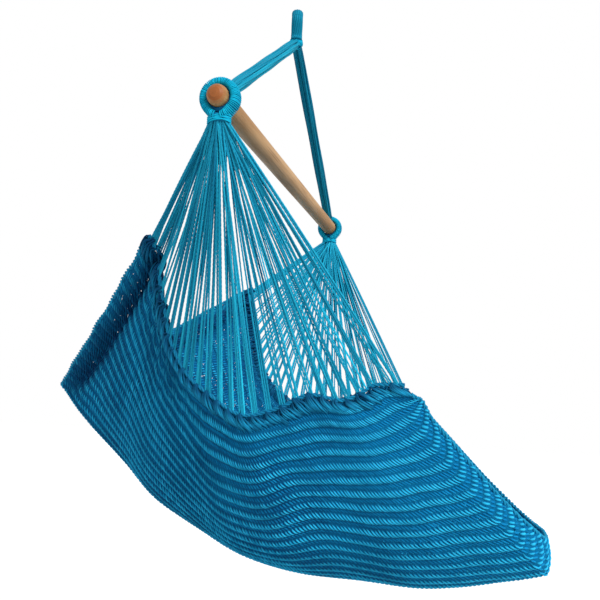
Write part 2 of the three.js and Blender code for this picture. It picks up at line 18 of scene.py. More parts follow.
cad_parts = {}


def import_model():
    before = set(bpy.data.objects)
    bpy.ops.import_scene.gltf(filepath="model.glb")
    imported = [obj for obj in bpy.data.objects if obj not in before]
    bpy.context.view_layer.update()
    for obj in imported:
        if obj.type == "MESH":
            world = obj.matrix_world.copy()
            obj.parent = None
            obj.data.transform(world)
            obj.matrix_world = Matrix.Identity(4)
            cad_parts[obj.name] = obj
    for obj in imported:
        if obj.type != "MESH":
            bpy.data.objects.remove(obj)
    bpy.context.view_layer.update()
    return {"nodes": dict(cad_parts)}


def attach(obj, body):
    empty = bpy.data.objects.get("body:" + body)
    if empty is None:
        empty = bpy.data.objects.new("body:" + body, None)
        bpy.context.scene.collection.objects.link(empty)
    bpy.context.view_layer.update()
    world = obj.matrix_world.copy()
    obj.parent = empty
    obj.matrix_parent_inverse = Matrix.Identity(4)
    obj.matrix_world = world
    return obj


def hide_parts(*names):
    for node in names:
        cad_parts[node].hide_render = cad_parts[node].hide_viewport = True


Array = np.ndarray
Socket = bpy.types.NodeSocket
Triple = tuple[float, float, float]

LOG = logging.getLogger("hammock_chair")
MM = 0.001
REARWARD: Triple = (0.0, 1.0, 0.0)


class Option(Enum):
    """An option whose name is part of the names of pieces."""

    @property
    def label(self) -> str:
        """The name as the pieces have it."""
        return self.name.lower()


class Side(Option):
    """The two ends of the bar, named from the sitter's seat."""

    RIGHT = -1
    LEFT = 1


class Face(Option):
    """The two faces of the cloth."""

    OUTER = 1
    INNER = -1


class Rib(Option):
    """The two kinds of rows that the cloth's ribs are made of."""

    CREST = "crest"
    VALLEY = "valley"


class Edge(Option):
    """The free edges of the cloth, by their place along it."""

    REAR = 0
    FRONT = 1


def unit(vectors: Array) -> Array:
    """Scales vectors to length one along their last axis."""
    return vectors / np.maximum(np.linalg.norm(vectors, axis=-1, keepdims=True), 1e-12)


def eased(value: Array) -> Array:
    """A smooth step from 0 to 1 between 0 and 1."""
    held = np.clip(value, 0.0, 1.0)
    return held * held * (3.0 - 2.0 * held)


def swell(place: Array, middle: float, width: float) -> Array:
    """A smooth hump of height one at a middle place."""
    return np.exp(-(((place - middle) / width) ** 2))


def swells(place: Array, *humps: Triple) -> Array:
    """The sum of some humps, each given by its height, middle and width."""
    return sum(height * swell(place, middle, width) for height, middle, width in humps)


def circle(count: int) -> Array:
    """Angles that are spread evenly round a circle."""
    return np.linspace(0, 2 * math.pi, count, endpoint=False)


def run_of(line: Array) -> Array:
    """The length along a line of points up to each of them."""
    return np.r_[0, np.cumsum(np.linalg.norm(np.diff(line, axis=0), axis=1))]


def spline(a: Array, b: Array, c: Array, d: Array, t: Array) -> Array:
    """A smooth curve past four values, at a share t of the way from b to c."""
    bend = (2 * a - 5 * b + 4 * c - d) * t**2
    return 0.5 * (2 * b + (c - a) * t + bend + (3 * b - a - 3 * c + d) * t**3)


def smooth_curve(points: list[list[float]] | Array, count: int) -> Array:
    """A smooth curve through some points, with evenly spaced samples.

    Args:
        points: The points that the curve passes, in order.
        count: How many samples to return.

    Returns:
        The samples, as an array of count rows.
    """
    knots = np.array(points, float)
    ends = np.vstack([2 * knots[0] - knots[1], knots, 2 * knots[-1] - knots[-2]])
    t = np.linspace(0, 1, 24, endpoint=False)[:, None]
    spans = [spline(*ends[i : i + 4], t) for i in range(len(knots) - 1)]
    line = np.vstack([*spans, knots[-1:]])
    run = run_of(line)
    at = np.linspace(0, run[-1], count)
    return np.stack([np.interp(at, run, line[:, i]) for i in range(3)], 1)


def carried_frames(line: Array, first: Triple) -> tuple[Array, Array]:
    """Carries a cross direction along a line without twisting it.

    Args:
        line: The points of the line.
        first: A direction that is roughly across the line at its start.

    Returns:
        Two unit directions across the line at each of its points.
    """
    tangents = unit(np.gradient(line, axis=0))
    across = np.zeros_like(line)
    held = np.array(first, float)
    for i, tangent in enumerate(tangents):
        held = held - tangent * held.dot(tangent)
        held = held / np.linalg.norm(held)
        across[i] = held
    return across, np.cross(tangents, across)


class Nodes:
    """A short way to write a material's node tree."""

    def __init__(self, name: str) -> None:
        """Makes an empty node material.

        Args:
            name: The material's name.
        """
        self.material = bpy.data.materials.new(name)
        self.material.use_nodes = True
        self.tree = self.material.node_tree
        self.tree.nodes.clear()

    def add(self, kind: str, **settings: object) -> bpy.types.Node:
        """Adds a node.

        Args:
            kind: The node's type name.
            settings: Node properties, or what goes into sockets, a plain value or another node's
                socket, by a name with underscores for spaces.

        Returns:
            The new node.
        """
        node = self.tree.nodes.new(kind)
        for key, value in settings.items():
            if hasattr(node, key):
                setattr(node, key, value)
            elif isinstance(value, Socket):
                self.tree.links.new(value, node.inputs[key.replace("_", " ")])
            else:
                node.inputs[key.replace("_", " ")].default_value = value
        return node

    def mix(self, share: Socket, low: object, high: object) -> Socket:
        """Mixes two colours.

        Args:
            share: The share of the second colour.
            low: The first colour, a socket or a plain colour.
            high: The second colour, a socket or a plain colour.

        Returns:
            The mixed colour.
        """
        node = self.add("ShaderNodeMix", data_type="RGBA", Factor=share)
        for socket, value in ((node.inputs[6], low), (node.inputs[7], high)):
            if isinstance(value, tuple):
                socket.default_value = (*value, 1.0)
            else:
                self.tree.links.new(value, socket)
        return node.outputs[2]

    def remap(self, source: Socket, low: float, high: float, top: float = 1.0) -> Socket:
        """Stretches the part of a value between low and high to 0 to top, smoothly."""
        limits = dict(From_Min=low, From_Max=high, To_Max=top, interpolation_type="SMOOTHSTEP")
        return self.add("ShaderNodeMapRange", Value=source, **limits).outputs["Result"]

    def noise(self, scale: float, detail: float, stretch: Triple = (1, 1, 1)) -> Socket:
        """Noise in the object's own space.

        Args:
            scale: How fine it is.
            detail: How many finer layers it has.
            stretch: A factor on its scale along each axis.

        Returns:
            The noise, as a value about 0.5.
        """
        where = self.add("ShaderNodeTexCoord").outputs["Object"]
        mapped = self.add("ShaderNodeMapping", Scale=stretch, Vector=where).outputs[0]
        node = self.add("ShaderNodeTexNoise", Scale=scale, Detail=detail, Vector=mapped)
        return node.outputs["Fac"]

    def layer(
        self, scale: float, detail: float, stretch: float, low: float, high: float
    ) -> Socket:
        """Noise that is stretched along X, with the part between low and high made 0 to 1."""
        return self.remap(self.noise(scale, detail, (stretch, 1.0, 1.0)), low, high)

    def attribute(self, name: str) -> Socket:
        """A number that is stored on the mesh."""
        return self.add("ShaderNodeAttribute", attribute_name=name).outputs["Fac"]

    def bump(self, height: Socket, strength: float) -> Socket:
        """A normal that is roughened by a height."""
        node = self.add("ShaderNodeBump", Strength=strength, Distance=0.4 * MM, Height=height)
        return node.outputs["Normal"]

    def finish(self, shader: bpy.types.Node) -> bpy.types.Material:
        """Links the last shader to the output and returns the material."""
        self.add("ShaderNodeOutputMaterial", Surface=shader.outputs[0])
        return self.material


@dataclass(frozen=True)
class YarnFinish:
    """Spun yarn: fibres, a soft sheen, a tone of its own on each strand, and painted shade: a mix
    towards its dark tucked colour where the strands' stored shade is low.
    """

    name: str
    slot: str
    low: Triple
    high: Triple
    tucked: Triple
    roughness: float = 0.72
    gloss: float = 0.08
    fibre_scale: float = 1400.0
    fibre_depth: float = 0.25
    fleck_share: float = 0.35
    patch_scale: float = 9.0
    patch_share: float = 0.4

    def build(self) -> bpy.types.Material:
        """Makes the material from the strands' stored tone and shade.

        Returns:
            The material.
        """
        nodes = Nodes(self.name)
        tone = nodes.attribute("tone")
        fibres = nodes.noise(self.fibre_scale, 2.0)
        strand = nodes.mix(tone, self.low, self.high)
        turned = nodes.mix(tone, self.high, self.low)
        patches = nodes.remap(nodes.noise(self.patch_scale, 3.0), 0.35, 0.7, self.patch_share)
        flecks = nodes.remap(fibres, 0.3, 0.75, self.fleck_share)
        flecked = nodes.mix(flecks, nodes.mix(patches, strand, turned), self.high)
        # Painted shade: the base colour goes towards the tucked colour where the stored shade is
        # low.
        shader = nodes.add(
            "ShaderNodeBsdfPrincipled",
            Base_Color=nodes.mix(nodes.attribute("shade"), self.tucked, flecked),
            Roughness=self.roughness,
            Specular_IOR_Level=self.gloss,
            Normal=nodes.bump(fibres, self.fibre_depth),
        )
        return nodes.finish(shader)


@dataclass(frozen=True)
class WoodFinish:
    """Smooth light wood with long grain, fine pores and a darker end grain.

    A layer of noise has its scale, its detail, its stretch and the two limits that it is cut to.
    """

    name: str = "bar_wood"
    slot: str = "wood"
    pale: Triple = (0.54, 0.31, 0.125)
    grain: Triple = (0.36, 0.185, 0.068)
    end: Triple = (0.25, 0.075, 0.016)
    grain_layer: tuple[float, ...] = (60.0, 5.0, 0.06, 0.38, 0.66)
    pore_layer: tuple[float, ...] = (420.0, 3.0, 0.02, 0.52, 0.72)
    cloud_layer: tuple[float, ...] = (7.0, 2.0, 0.5, 0.3, 0.7)
    end_noise: tuple[float, float] = (160.0, 4.0)
    end_limits: tuple[float, float] = (0.25, 0.85)
    cloud_shade: float = 0.9
    pore_shade: float = 0.82
    end_shade: float = 1.5
    roughness: tuple[float, float] = (0.38, 0.58)
    pore_depth: float = 0.12
    gloss: float = 0.3
    coat: float = 0.05
    coat_roughness: float = 0.3

    def build(self) -> bpy.types.Material:
        """Makes the material.

        Returns:
            The material.
        """
        nodes = Nodes(self.name)
        long_grain, pores = nodes.layer(*self.grain_layer), nodes.layer(*self.pore_layer)
        clouded = tuple(self.cloud_shade * c for c in self.pale)
        pale = nodes.mix(nodes.layer(*self.cloud_layer), self.pale, clouded)
        body = nodes.mix(long_grain, pale, self.grain)
        pored = nodes.mix(pores, body, tuple(self.pore_shade * c for c in self.grain))
        normal = nodes.add("ShaderNodeNewGeometry").outputs["True Normal"]
        along = nodes.add("ShaderNodeSeparateXYZ", Vector=normal).outputs[0]
        facing = nodes.add("ShaderNodeMath", operation="ABSOLUTE", Value=along).outputs[0]
        lit = tuple(self.end_shade * c for c in self.end)
        mottled = nodes.mix(nodes.noise(*self.end_noise), self.end, lit)
        low, high = self.roughness
        rough = nodes.add("ShaderNodeMapRange", Value=long_grain, To_Min=low, To_Max=high)
        shader = nodes.add(
            "ShaderNodeBsdfPrincipled",
            Base_Color=nodes.mix(nodes.remap(facing, *self.end_limits), pored, mottled),
            Roughness=rough.outputs[0],
            Specular_IOR_Level=self.gloss,
            Coat_Weight=self.coat,
            Coat_Roughness=self.coat_roughness,
            Normal=nodes.bump(pores, self.pore_depth),
        )
        return nodes.finish(shader)


@dataclass(frozen=True)
class FloorFinish:
    """A pale floor that looks white to the camera and keeps the object's shadow."""

    name: str = "pale_floor"
    color: Triple = (0.62, 0.62, 0.62)
    lift: float = 0.5

    def build(self) -> bpy.types.Material:
        """Makes the material.

        Returns:
            The material.
        """
        nodes = Nodes(self.name)
        grey = nodes.remap(nodes.noise(3.0, 2.0), 0.0, 1.0)
        color = nodes.mix(grey, self.color, tuple(0.99 * c for c in self.color))
        plain = nodes.add("ShaderNodeBsdfDiffuse", Color=color)
        seen = nodes.add("ShaderNodeLightPath").outputs["Is Camera Ray"]
        glow = nodes.add("ShaderNodeEmission", Strength=nodes.remap(seen, 0.0, 1.0, self.lift))
        both = nodes.add("ShaderNodeAddShader", Shader=plain.outputs[0])
        nodes.tree.links.new(glow.outputs[0], both.inputs[1])
        return nodes.finish(both)


Finish = YarnFinish | WoodFinish | FloorFinish


@dataclass
class Finishes:
    """The finishes of the whole chair, each built once."""

    # The third colour of each yarn finish is its tucked colour, the painted shade that the stored
    # shade mixes in.
    string: YarnFinish = YarnFinish(
        "string_yarn", "cord", (0.0, 0.14, 0.29), (0.025, 0.60, 0.84), (0.0, 0.05, 0.14)
    )
    rope: YarnFinish = YarnFinish(
        "rope_yarn", "cord", (0.0, 0.12, 0.23), (0.008, 0.36, 0.52), (0.0, 0.045, 0.11)
    )
    whipping: YarnFinish = YarnFinish(
        "whipping_yarn", "binding", (0.0, 0.21, 0.36), (0.006, 0.52, 0.76), (0.0, 0.07, 0.16)
    )
    lump: YarnFinish = YarnFinish(
        "header_yarn", "binding", (0.0, 0.11, 0.29), (0.016, 0.42, 0.71), (0.0, 0.025, 0.09)
    )
    crest: YarnFinish = YarnFinish(
        "crest_yarn", "weave", (0.0, 0.235, 0.47), (0.030, 0.56, 0.89), (0.0, 0.03, 0.11)
    )
    # Darker than the crest yarn: part a deeper blue of its own, part painted shade of the valleys.
    valley: YarnFinish = YarnFinish(
        "valley_yarn", "weave", (0.0, 0.135, 0.35), (0.004, 0.29, 0.60), (0.0, 0.02, 0.08)
    )
    # Painted shade: the ground's colours are much darker than the yarn, standing for the shade
    # between the stitches.
    ground: YarnFinish = YarnFinish(
        "ground_yarn", "weave", (0.0, 0.045, 0.14), (0.0, 0.19, 0.40), (0.0, 0.01, 0.04)
    )
    wood: WoodFinish = WoodFinish()
    floor: FloorFinish = FloorFinish()
    built: dict[str, bpy.types.Material] = field(default_factory=dict)

    def of(self, finish: Finish) -> bpy.types.Material:
        """The material of a finish, made at its first use.

        Args:
            finish: The finish.

        Returns:
            Its material.
        """
        if finish.name not in self.built:
            self.built[finish.name] = finish.build()
        return self.built[finish.name]


class Strands:
    """Gathers many tubes of yarn into one mesh."""

    def __init__(self) -> None:
        """Starts with nothing gathered."""
        self.points: list[Array] = []
        self.corners: list[Array] = []
        self.sizes: list[Array] = []
        self.tones: list[Array] = []
        self.shades: list[Array] = []
        self.total = 0

    def add(
        self,
        lines: Array,
        up: Array | Triple,
        half_width: Array | float,
        half_height: Array | float,
        sides: int = 6,
        closed: bool = False,
        tone: Array | float = 0.5,
        shade: Array | float = 1.0,
    ) -> None:
        """Adds tubes that follow some lines.

        Args:
            lines: The centrelines, as tubes by samples by three.
            up: A direction across each line, with the shape of lines or one that fits it.
            half_width: Half of the tube's width, across its up direction.
            half_height: Half of the tube's height, along its up direction.
            sides: How many sides a tube has.
            closed: True if each line joins its own start.
            tone: A tone for each tube, from 0 to 1.
            shade: The painted shade of each sample, as how far it is in the open, from 0 to 1.
        """
        count, samples = lines.shape[:2]
        if closed:
            run = np.roll(lines, -1, axis=1) - np.roll(lines, 1, axis=1)
        else:
            run = np.gradient(lines, axis=1)
        tangent = unit(run)
        across = unit(np.cross(tangent, np.broadcast_to(up, lines.shape)))
        raised = np.cross(across, tangent)
        turn = 2 * np.pi * (np.arange(sides)[:, None] + 0.5) / sides
        wide = np.broadcast_to(half_width, (count, samples))[:, :, None, None]
        high = np.broadcast_to(half_height, (count, samples))[:, :, None, None]
        ring = lines[:, :, None] + across[:, :, None] * wide * np.cos(turn)
        ring = ring + raised[:, :, None] * high * np.sin(turn)
        shape = (count, samples, sides)
        index = self.total + np.arange(count * samples * sides).reshape(shape)
        here = index if closed else index[:, :-1]
        after = np.roll(index, -1, axis=1) if closed else index[:, 1:]
        quads = [here, np.roll(here, -1, axis=2), np.roll(after, -1, axis=2), after]
        self.corners.append(np.stack(quads, -1).ravel())
        self.sizes.append(np.full(here.size, 4))
        if not closed:
            for cap in (index[:, 0, ::-1], index[:, -1, :]):
                self.corners.append(cap.ravel())
                self.sizes.append(np.full(count, sides))
        self.points.append(ring.reshape(-1, 3))
        self.tones.append(np.broadcast_to(np.reshape(tone, (-1, 1, 1)), shape).ravel())
        shades = np.broadcast_to(shade, (count, samples))[:, :, None]
        self.shades.append(np.broadcast_to(shades, shape).ravel())
        self.total += ring.size // 3

    def turn(self, line: Array, out: Array, radius: float, **looks: object) -> None:
        """Adds one yarn that goes round something, with its outward directions."""
        self.add(line[None], out[None], radius, radius, **{"closed": True, **looks})

    def rope(
        self,
        line: Array,
        count: int,
        ring: float,
        yarn: float,
        lay: float,
        rng: np.random.Generator,
        sides: int = 6,
        first: Triple = REARWARD,
        taper: Array | float = 1.0,
        flat: float = 1.0,
        tones: tuple[float, float] = (0.15, 0.85),
        shade: float = 1.0,
    ) -> None:
        """Adds a rope: strands laid round one line in a long twist.

        Args:
            line: The rope's centreline.
            count: How many strands the rope has.
            ring: The radius at which the strands lie round the centreline.
            yarn: The radius of one strand.
            lay: The length in which a strand goes round once.
            rng: The random numbers for the strands' tones.
            sides: How many sides a strand has.
            first: A direction across the line at its start.
            taper: A factor on ring and yarn at each point of the line.
            flat: A factor on the ring along its first direction.
            tones: The least and the greatest tone of a strand.
            shade: The painted shade of the rope, as how far it is in the open, from 0 to 1.
        """
        across, beside = carried_frames(line, first)
        run = run_of(line)
        start = 2 * np.pi * np.arange(count)[:, None] / count
        turn = (start + 2 * np.pi * run[None, :] / lay)[..., None]
        out = flat * np.cos(turn) * across[None] + np.sin(turn) * beside[None]
        reach = ring * np.broadcast_to(taper, run.shape)
        lines = line[None] + out * reach[None, :, None]
        size = yarn * np.broadcast_to(taper, run.shape)[None, :]
        self.add(lines, out, size, size, sides, tone=rng.uniform(*tones, count), shade=shade)

    def build(self, name: str, material: bpy.types.Material) -> bpy.types.Object:
        """Makes the mesh object.

        Args:
            name: The object's name.
            material: The finish of every strand.

        Returns:
            The new object, linked to the scene.
        """
        corners = np.concatenate(self.corners).astype(np.int32)
        sizes = np.concatenate(self.sizes).astype(np.int32)
        points = np.concatenate(self.points)
        mesh = bpy.data.meshes.new(name)
        mesh.vertices.add(len(points))
        mesh.vertices.foreach_set("co", points.astype(np.float32).ravel())
        mesh.loops.add(len(corners))
        mesh.loops.foreach_set("vertex_index", corners)
        mesh.polygons.add(len(sizes))
        starts = np.concatenate([[0], np.cumsum(sizes)[:-1]]).astype(np.int32)
        mesh.polygons.foreach_set("loop_start", starts)
        mesh.polygons.foreach_set("use_smooth", np.ones(len(sizes), bool))
        for key, values in (("tone", self.tones), ("shade", self.shades)):
            layer = mesh.attributes.new(key, "FLOAT", "POINT")
            layer.data.foreach_set("value", np.concatenate(values).astype(np.float32))
        mesh.update(calc_edges=True)
        mesh.validate()
        mesh.materials.append(material)
        piece = bpy.data.objects.new(name, mesh)
        bpy.context.scene.collection.objects.link(piece)
        return piece


@dataclass
class Part:
    """A sub-assembly, with the finishes that dress it."""

    finishes: Finishes

    @property
    def prefix(self) -> str:
        """What its pieces' names and those of their nodes start with."""
        return ""

    def piece(
        self, strands: Strands, finish: YarnFinish, name: str, body: str, stands_for: str = ""
    ) -> bpy.types.Object:
        """Makes a piece of strands, sets it on its body, hides the frame's node that it stands for
        and reports it.

        Args:
            strands: The strands.
            finish: Their finish.
            name: The piece's name, after the prefix.
            body: The body that it rides on.
            stands_for: The frame's node that it replaces, if any, after the prefix.

        Returns:
            The piece.
        """
        piece = strands.build(self.prefix + name, self.finishes.of(finish))
        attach(piece, body)
        if stands_for:
            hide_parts(self.prefix + stands_for)
        LOG.info("%s, on %s", piece.name, body)
        return piece

    @staticmethod
    def say_cord(piece: bpy.types.Object, line: Array, diameter: float) -> None:
        """Takes a piece that is a taut cord along a line, and does nothing with it.

        Args:
            piece: The piece; not used.
            line: Its centreline; not used.
            diameter: Its diameter; not used.
        """


@dataclass
class SidePart(Part):
    """A sub-assembly that the chair has at both ends of its bar."""

    side: Side

    @property
    def prefix(self) -> str:
        """What its pieces' names and those of their nodes start with."""
        return f"{self.side.label}_"

    def rng(self, seed: int) -> np.random.Generator:
        """The random numbers of a seed, others for each side."""
        return np.random.default_rng(seed + self.side.value)


@dataclass
class ClothSurface:
    """The hung cloth's middle surface.

    A place on it is across, from -1 at the right header to 1 at the left one, and along, from 0 at
    the rear edge to 1 at the front one. The stations share it out evenly from the rear edge to the
    lip. A hump has its height, in millimetres unless it is a share, its middle and its width.
    """

    bar_height: float = -0.373
    drop: float = 0.820
    rear_reach: float = 0.507
    front_reach: float = 0.534
    half_width: float = 0.322
    lip_start: float = 0.94
    lip_side: float = 43 * MM
    lip_keel: float = 66 * MM
    lip_header_reach: float = 46 * MM
    lip_bulge: float = 5 * MM
    left_lag: float = 40 * MM
    header_reach: tuple[float, ...] = (
        0.345, 0.32, 0.29, 0.26, 0.193, 0.095, -0.015, -0.133, -0.237, -0.346, -0.449,
    )
    header_drop: tuple[float, ...] = (
        0.232, 0.3, 0.385, 0.463, 0.533, 0.58, 0.616, 0.599, 0.568, 0.576, 0.54,
    )
    header_width: tuple[float, ...] = (
        1.007, 0.978, 0.957, 0.941, 0.932, 0.932, 0.932, 0.925, 0.913, 0.894, 0.872,
    )
    keel_reach: tuple[float, ...] = (
        0.996, 0.836, 0.659, 0.502, 0.28, 0.067, -0.146, -0.359, -0.573, -0.792, -1,
    )
    keel_drop: tuple[float, ...] = (
        0.565, 0.669, 0.763, 0.849, 0.915, 0.969, 0.996, 1, 0.996, 0.977, 0.938,
    )
    hollow_power: tuple[float, ...] = (
        0.93, 1.126, 1.35, 1.55, 1.75, 1.9, 2, 2.1, 2.3, 2.8, 3.8,
    )
    squeeze: Triple = (0.085, 0.52, 0.11)
    keel_blunt: Triple = (0.08, 0.0, 0.09)
    slack_folds: tuple[Triple, ...] = ((12, 0.6, 0.09), (-16, 0.43, 0.05), (-8, 0.78, 0.05))
    hem_folds: tuple[Triple, ...] = ((8, 0.0, 0.02), (-10, 0.085, 0.03))
    tuck_depth: float = 30
    waves: tuple[Triple, ...] = (
        (13.5, 0.66, 0.07), (7.2, 0.92, 0.04), (-18, 0.44, 0.07), (-10.8, 0.8, 0.05),
    )
    frill: Triple = (1.3, 0.0, 0.03)
    rear_pull: Triple = (6, 0.0, 0.06)
    near_rim: Triple = (6, 1.0, 0.05)
    columns: int = 441
    rows: int = 641
    ladder: tuple[Array, Array] = field(init=False)
    points: Array = field(init=False)
    normals: Array = field(init=False)
    cross_step: Array = field(init=False)
    long_step: Array = field(init=False)

    def __post_init__(self) -> None:
        """Samples the surface on a fine grid, evenly spaced along the middle of each half."""
        ladder = np.linspace(0, 1, 801)
        run = run_of(self.place_at(np.full_like(ladder, -0.5), ladder))
        self.ladder = (run / run[-1], ladder)
        across = np.linspace(-1, 1, self.columns)[:, None]
        along = self.along_of(np.linspace(0, 1, self.rows))[None, :]
        self.points = self.place_at(*np.broadcast_arrays(across, along))
        self.cross_step = np.gradient(self.points, 2 / (self.columns - 1), axis=0)
        self.long_step = np.gradient(self.points, 1 / (self.rows - 1), axis=1)
        self.normals = unit(np.cross(self.long_step, self.cross_step))
        if self.normals[self.columns // 8, self.rows // 2, 0] > 0:
            self.normals = -self.normals

    def along_of(self, share: Array) -> Array:
        """The place along the cloth at a share of its length."""
        return np.interp(share, *self.ladder)

    @staticmethod
    def station(shares: tuple[float, ...], place: Array) -> Array:
        """Reads a list of stations smoothly.

        Args:
            shares: The stations' values, evenly spaced.
            place: The places to read, from 0 to 1.

        Returns:
            The values there.
        """
        v = np.array([2 * shares[0] - shares[1], *shares, 2 * shares[-1] - shares[-2]])
        p = np.clip(place, 0, 1) * (len(shares) - 1)
        i = np.minimum(p.astype(int), len(shares) - 2)
        return spline(v[i], v[i + 1], v[i + 2], v[i + 3], p - i)

    def reach_of(self, share: Array) -> Array:
        """The reach towards the rear of a share of the rear or front reach."""
        return np.where(share > 0, share * self.rear_reach, share * self.front_reach)

    def place_at(self, across: Array, along: Array) -> Array:
        """The points of the cloth at some places.

        Args:
            across: The places across it.
            along: The places along it.

        Returns:
            The points, with one more axis than across.
        """
        place = np.minimum(along / self.lip_start, 1)
        out = np.minimum(np.abs(across), 1)
        out = out - swells(place, self.squeeze) * np.sin(np.pi * out)
        side = np.where(across < 0, -1.0, 1.0)
        high_reach = self.reach_of(self.station(self.header_reach, place))
        low_reach = self.reach_of(self.station(self.keel_reach, place))
        high = self.station(self.header_drop, place) * self.drop
        low = self.station(self.keel_drop, place) * self.drop
        width = self.station(self.header_width, place) * self.half_width
        power = self.station(self.hollow_power, place)
        share = self.hollow(out, width, power, low - high, high_reach - low_reach)
        blunt = swells(place, self.keel_blunt)
        rise = ((np.hypot(share, blunt) - blunt) / (np.hypot(1, blunt) - blunt)) ** power
        slack = np.clip(np.sin(np.pi * out), 0, 1) ** 0.8
        hem = np.minimum(1, out * 4)
        tucked = swells(place, *self.hem_folds) - self.tuck_depth * self.rear_tuck(out, place)
        fold = slack * swells(place, *self.slack_folds) + hem * tucked
        frill = hem * swells(place, self.frill)
        frill = frill * (np.sin(25 * out + 1.7) + 0.7 * np.sin(43 * out + side))
        shift = (frill - slack * swells(place, self.rear_pull)) * MM
        shift = shift + np.where(side > 0, self.left_lag * out * place * place, 0.0)
        rim = (side < 0) * eased(out * 3) * eased((1 - out) * 6) * swells(place, self.near_rim)
        wave = slack * swells(place, *self.waves) + rim
        lip_rise, lip_forward = self.lip(out, along)
        return np.stack(
            [
                side * (width * share + fold * MM),
                low_reach + (high_reach - low_reach) * rise - lip_forward + shift,
                self.bar_height - low + (low - high) * rise + wave * MM + lip_rise,
            ],
            -1,
        )

    def lip(self, out: Array, along: Array) -> tuple[Array, Array]:
        """How far the front lip of the cloth is turned up and forward.

        Args:
            out: The places from the keel, at 0, to the header, at 1.
            along: The places along the cloth.

        Returns:
            The rise and the way forward.
        """
        lip = np.maximum(along - self.lip_start, 0) / (1 - self.lip_start)
        inward = 1 - eased(out * 5 - 4)
        height = self.lip_keel + (self.lip_side - self.lip_keel) * eased(out * 2)
        forward = self.lip_header_reach * eased(out * 4 - 3) * lip
        forward = forward + self.lip_bulge * np.sin(np.pi * lip) * inward
        return height * inward * lip**1.2, forward

    @staticmethod
    def rear_tuck(out: Array, place: Array) -> Array:
        """How deep a place lies in the fold by the rear edge, from 0 to 1."""
        return np.exp(-(((place - 0.018 - 0.05 * out) / 0.021) ** 2))

    def tuck(self, across: Array, share: Array) -> Array:
        """How deep a place of the cloth lies in the fold by its rear edge, from 0 to 1."""
        out = np.abs(across)
        return np.minimum(1, out * 3) * self.rear_tuck(out, self.along_of(share) / self.lip_start)

    @staticmethod
    def hollow(
        out: Array, width: Array, power: Array, rise: Array, back: Array
    ) -> Array:
        """The share of the half width at a share of a cross section's length from the keel.

        Args:
            out: The share of the length, from the keel to the header.
            width: The section's half width.
            power: The power that its height follows.
            rise: Its height from keel to header.
            back: Its lean from keel to header.

        Returns:
            The share of the half width, with the shape of out.
        """
        steps = 40
        x = np.linspace(0, 1, steps + 1)
        curve = x ** power[..., None]
        seg = np.sqrt(
            (width[..., None] * np.diff(x)) ** 2
            + np.diff(curve, axis=-1) ** 2 * (rise**2 + back**2)[..., None]
        )
        total = np.concatenate([np.zeros_like(seg[..., :1]), np.cumsum(seg, -1)], -1)
        goal = (out * total[..., -1])[..., None]
        i = np.clip((total[..., 1:] < goal).sum(-1), 0, steps - 1)[..., None]
        low = np.take_along_axis(total, i, -1)
        high = np.take_along_axis(total, i + 1, -1)
        return ((i + (goal - low) / np.maximum(high - low, 1e-12)) / steps)[..., 0]

    def read(self, grid: Array, across: Array, share: Array) -> Array:
        """Reads a grid of the surface between its points.

        Args:
            grid: One of the surface's own grids.
            across: The places across the cloth, from -1 to 1.
            share: The shares of its length from the rear edge, from 0 to 1.

        Returns:
            The grid's values there, with three numbers each.
        """
        x = np.clip((across + 1) / 2, 0, 1) * (self.columns - 1)
        y = np.clip(share, 0, 1) * (self.rows - 1)
        i = np.minimum(x.astype(int), self.columns - 2)
        j = np.minimum(y.astype(int), self.rows - 2)
        u, v = (x - i)[..., None], (y - j)[..., None]
        near = grid[i, j] * (1 - v) + grid[i, j + 1] * v
        far = grid[i + 1, j] * (1 - v) + grid[i + 1, j + 1] * v
        return near * (1 - u) + far * u

    def at(
        self, across: Array, share: Array, height: Array | float = 0.0
    ) -> tuple[Array, Array]:
        """Points over the surface.

        Args:
            across: The places across the cloth.
            share: The shares of its length.
            height: How far each point stands out from the surface.

        Returns:
            The points, and the outward directions there.
        """
        normal = unit(self.read(self.normals, across, share))
        point = self.read(self.points, across, share)
        return point + normal * np.broadcast_to(height, across.shape)[..., None], normal

    def beyond(self, edge: Side | Edge, places: Array, out: float) -> Array:
        """Points beyond an edge of the cloth, in its own plane.

        Args:
            edge: The side of a header, or the rear or front edge.
            places: The places along it.
            out: How far the points lie beyond it.

        Returns:
            The points.
        """
        fixed = np.full_like(places, float(edge.value))
        spots, sign, grids = (fixed, places), edge.value, (self.cross_step, self.long_step)
        if isinstance(edge, Edge):
            spots, sign, grids = spots[::-1], 2 * edge.value - 1, grids[::-1]
        outward, forward = (self.read(grid, *spots) for grid in grids)
        outward, forward = outward * sign, unit(forward)
        outward = unit(outward - forward * (outward * forward).sum(-1, keepdims=True))
        return self.read(self.points, *spots) + outward * out


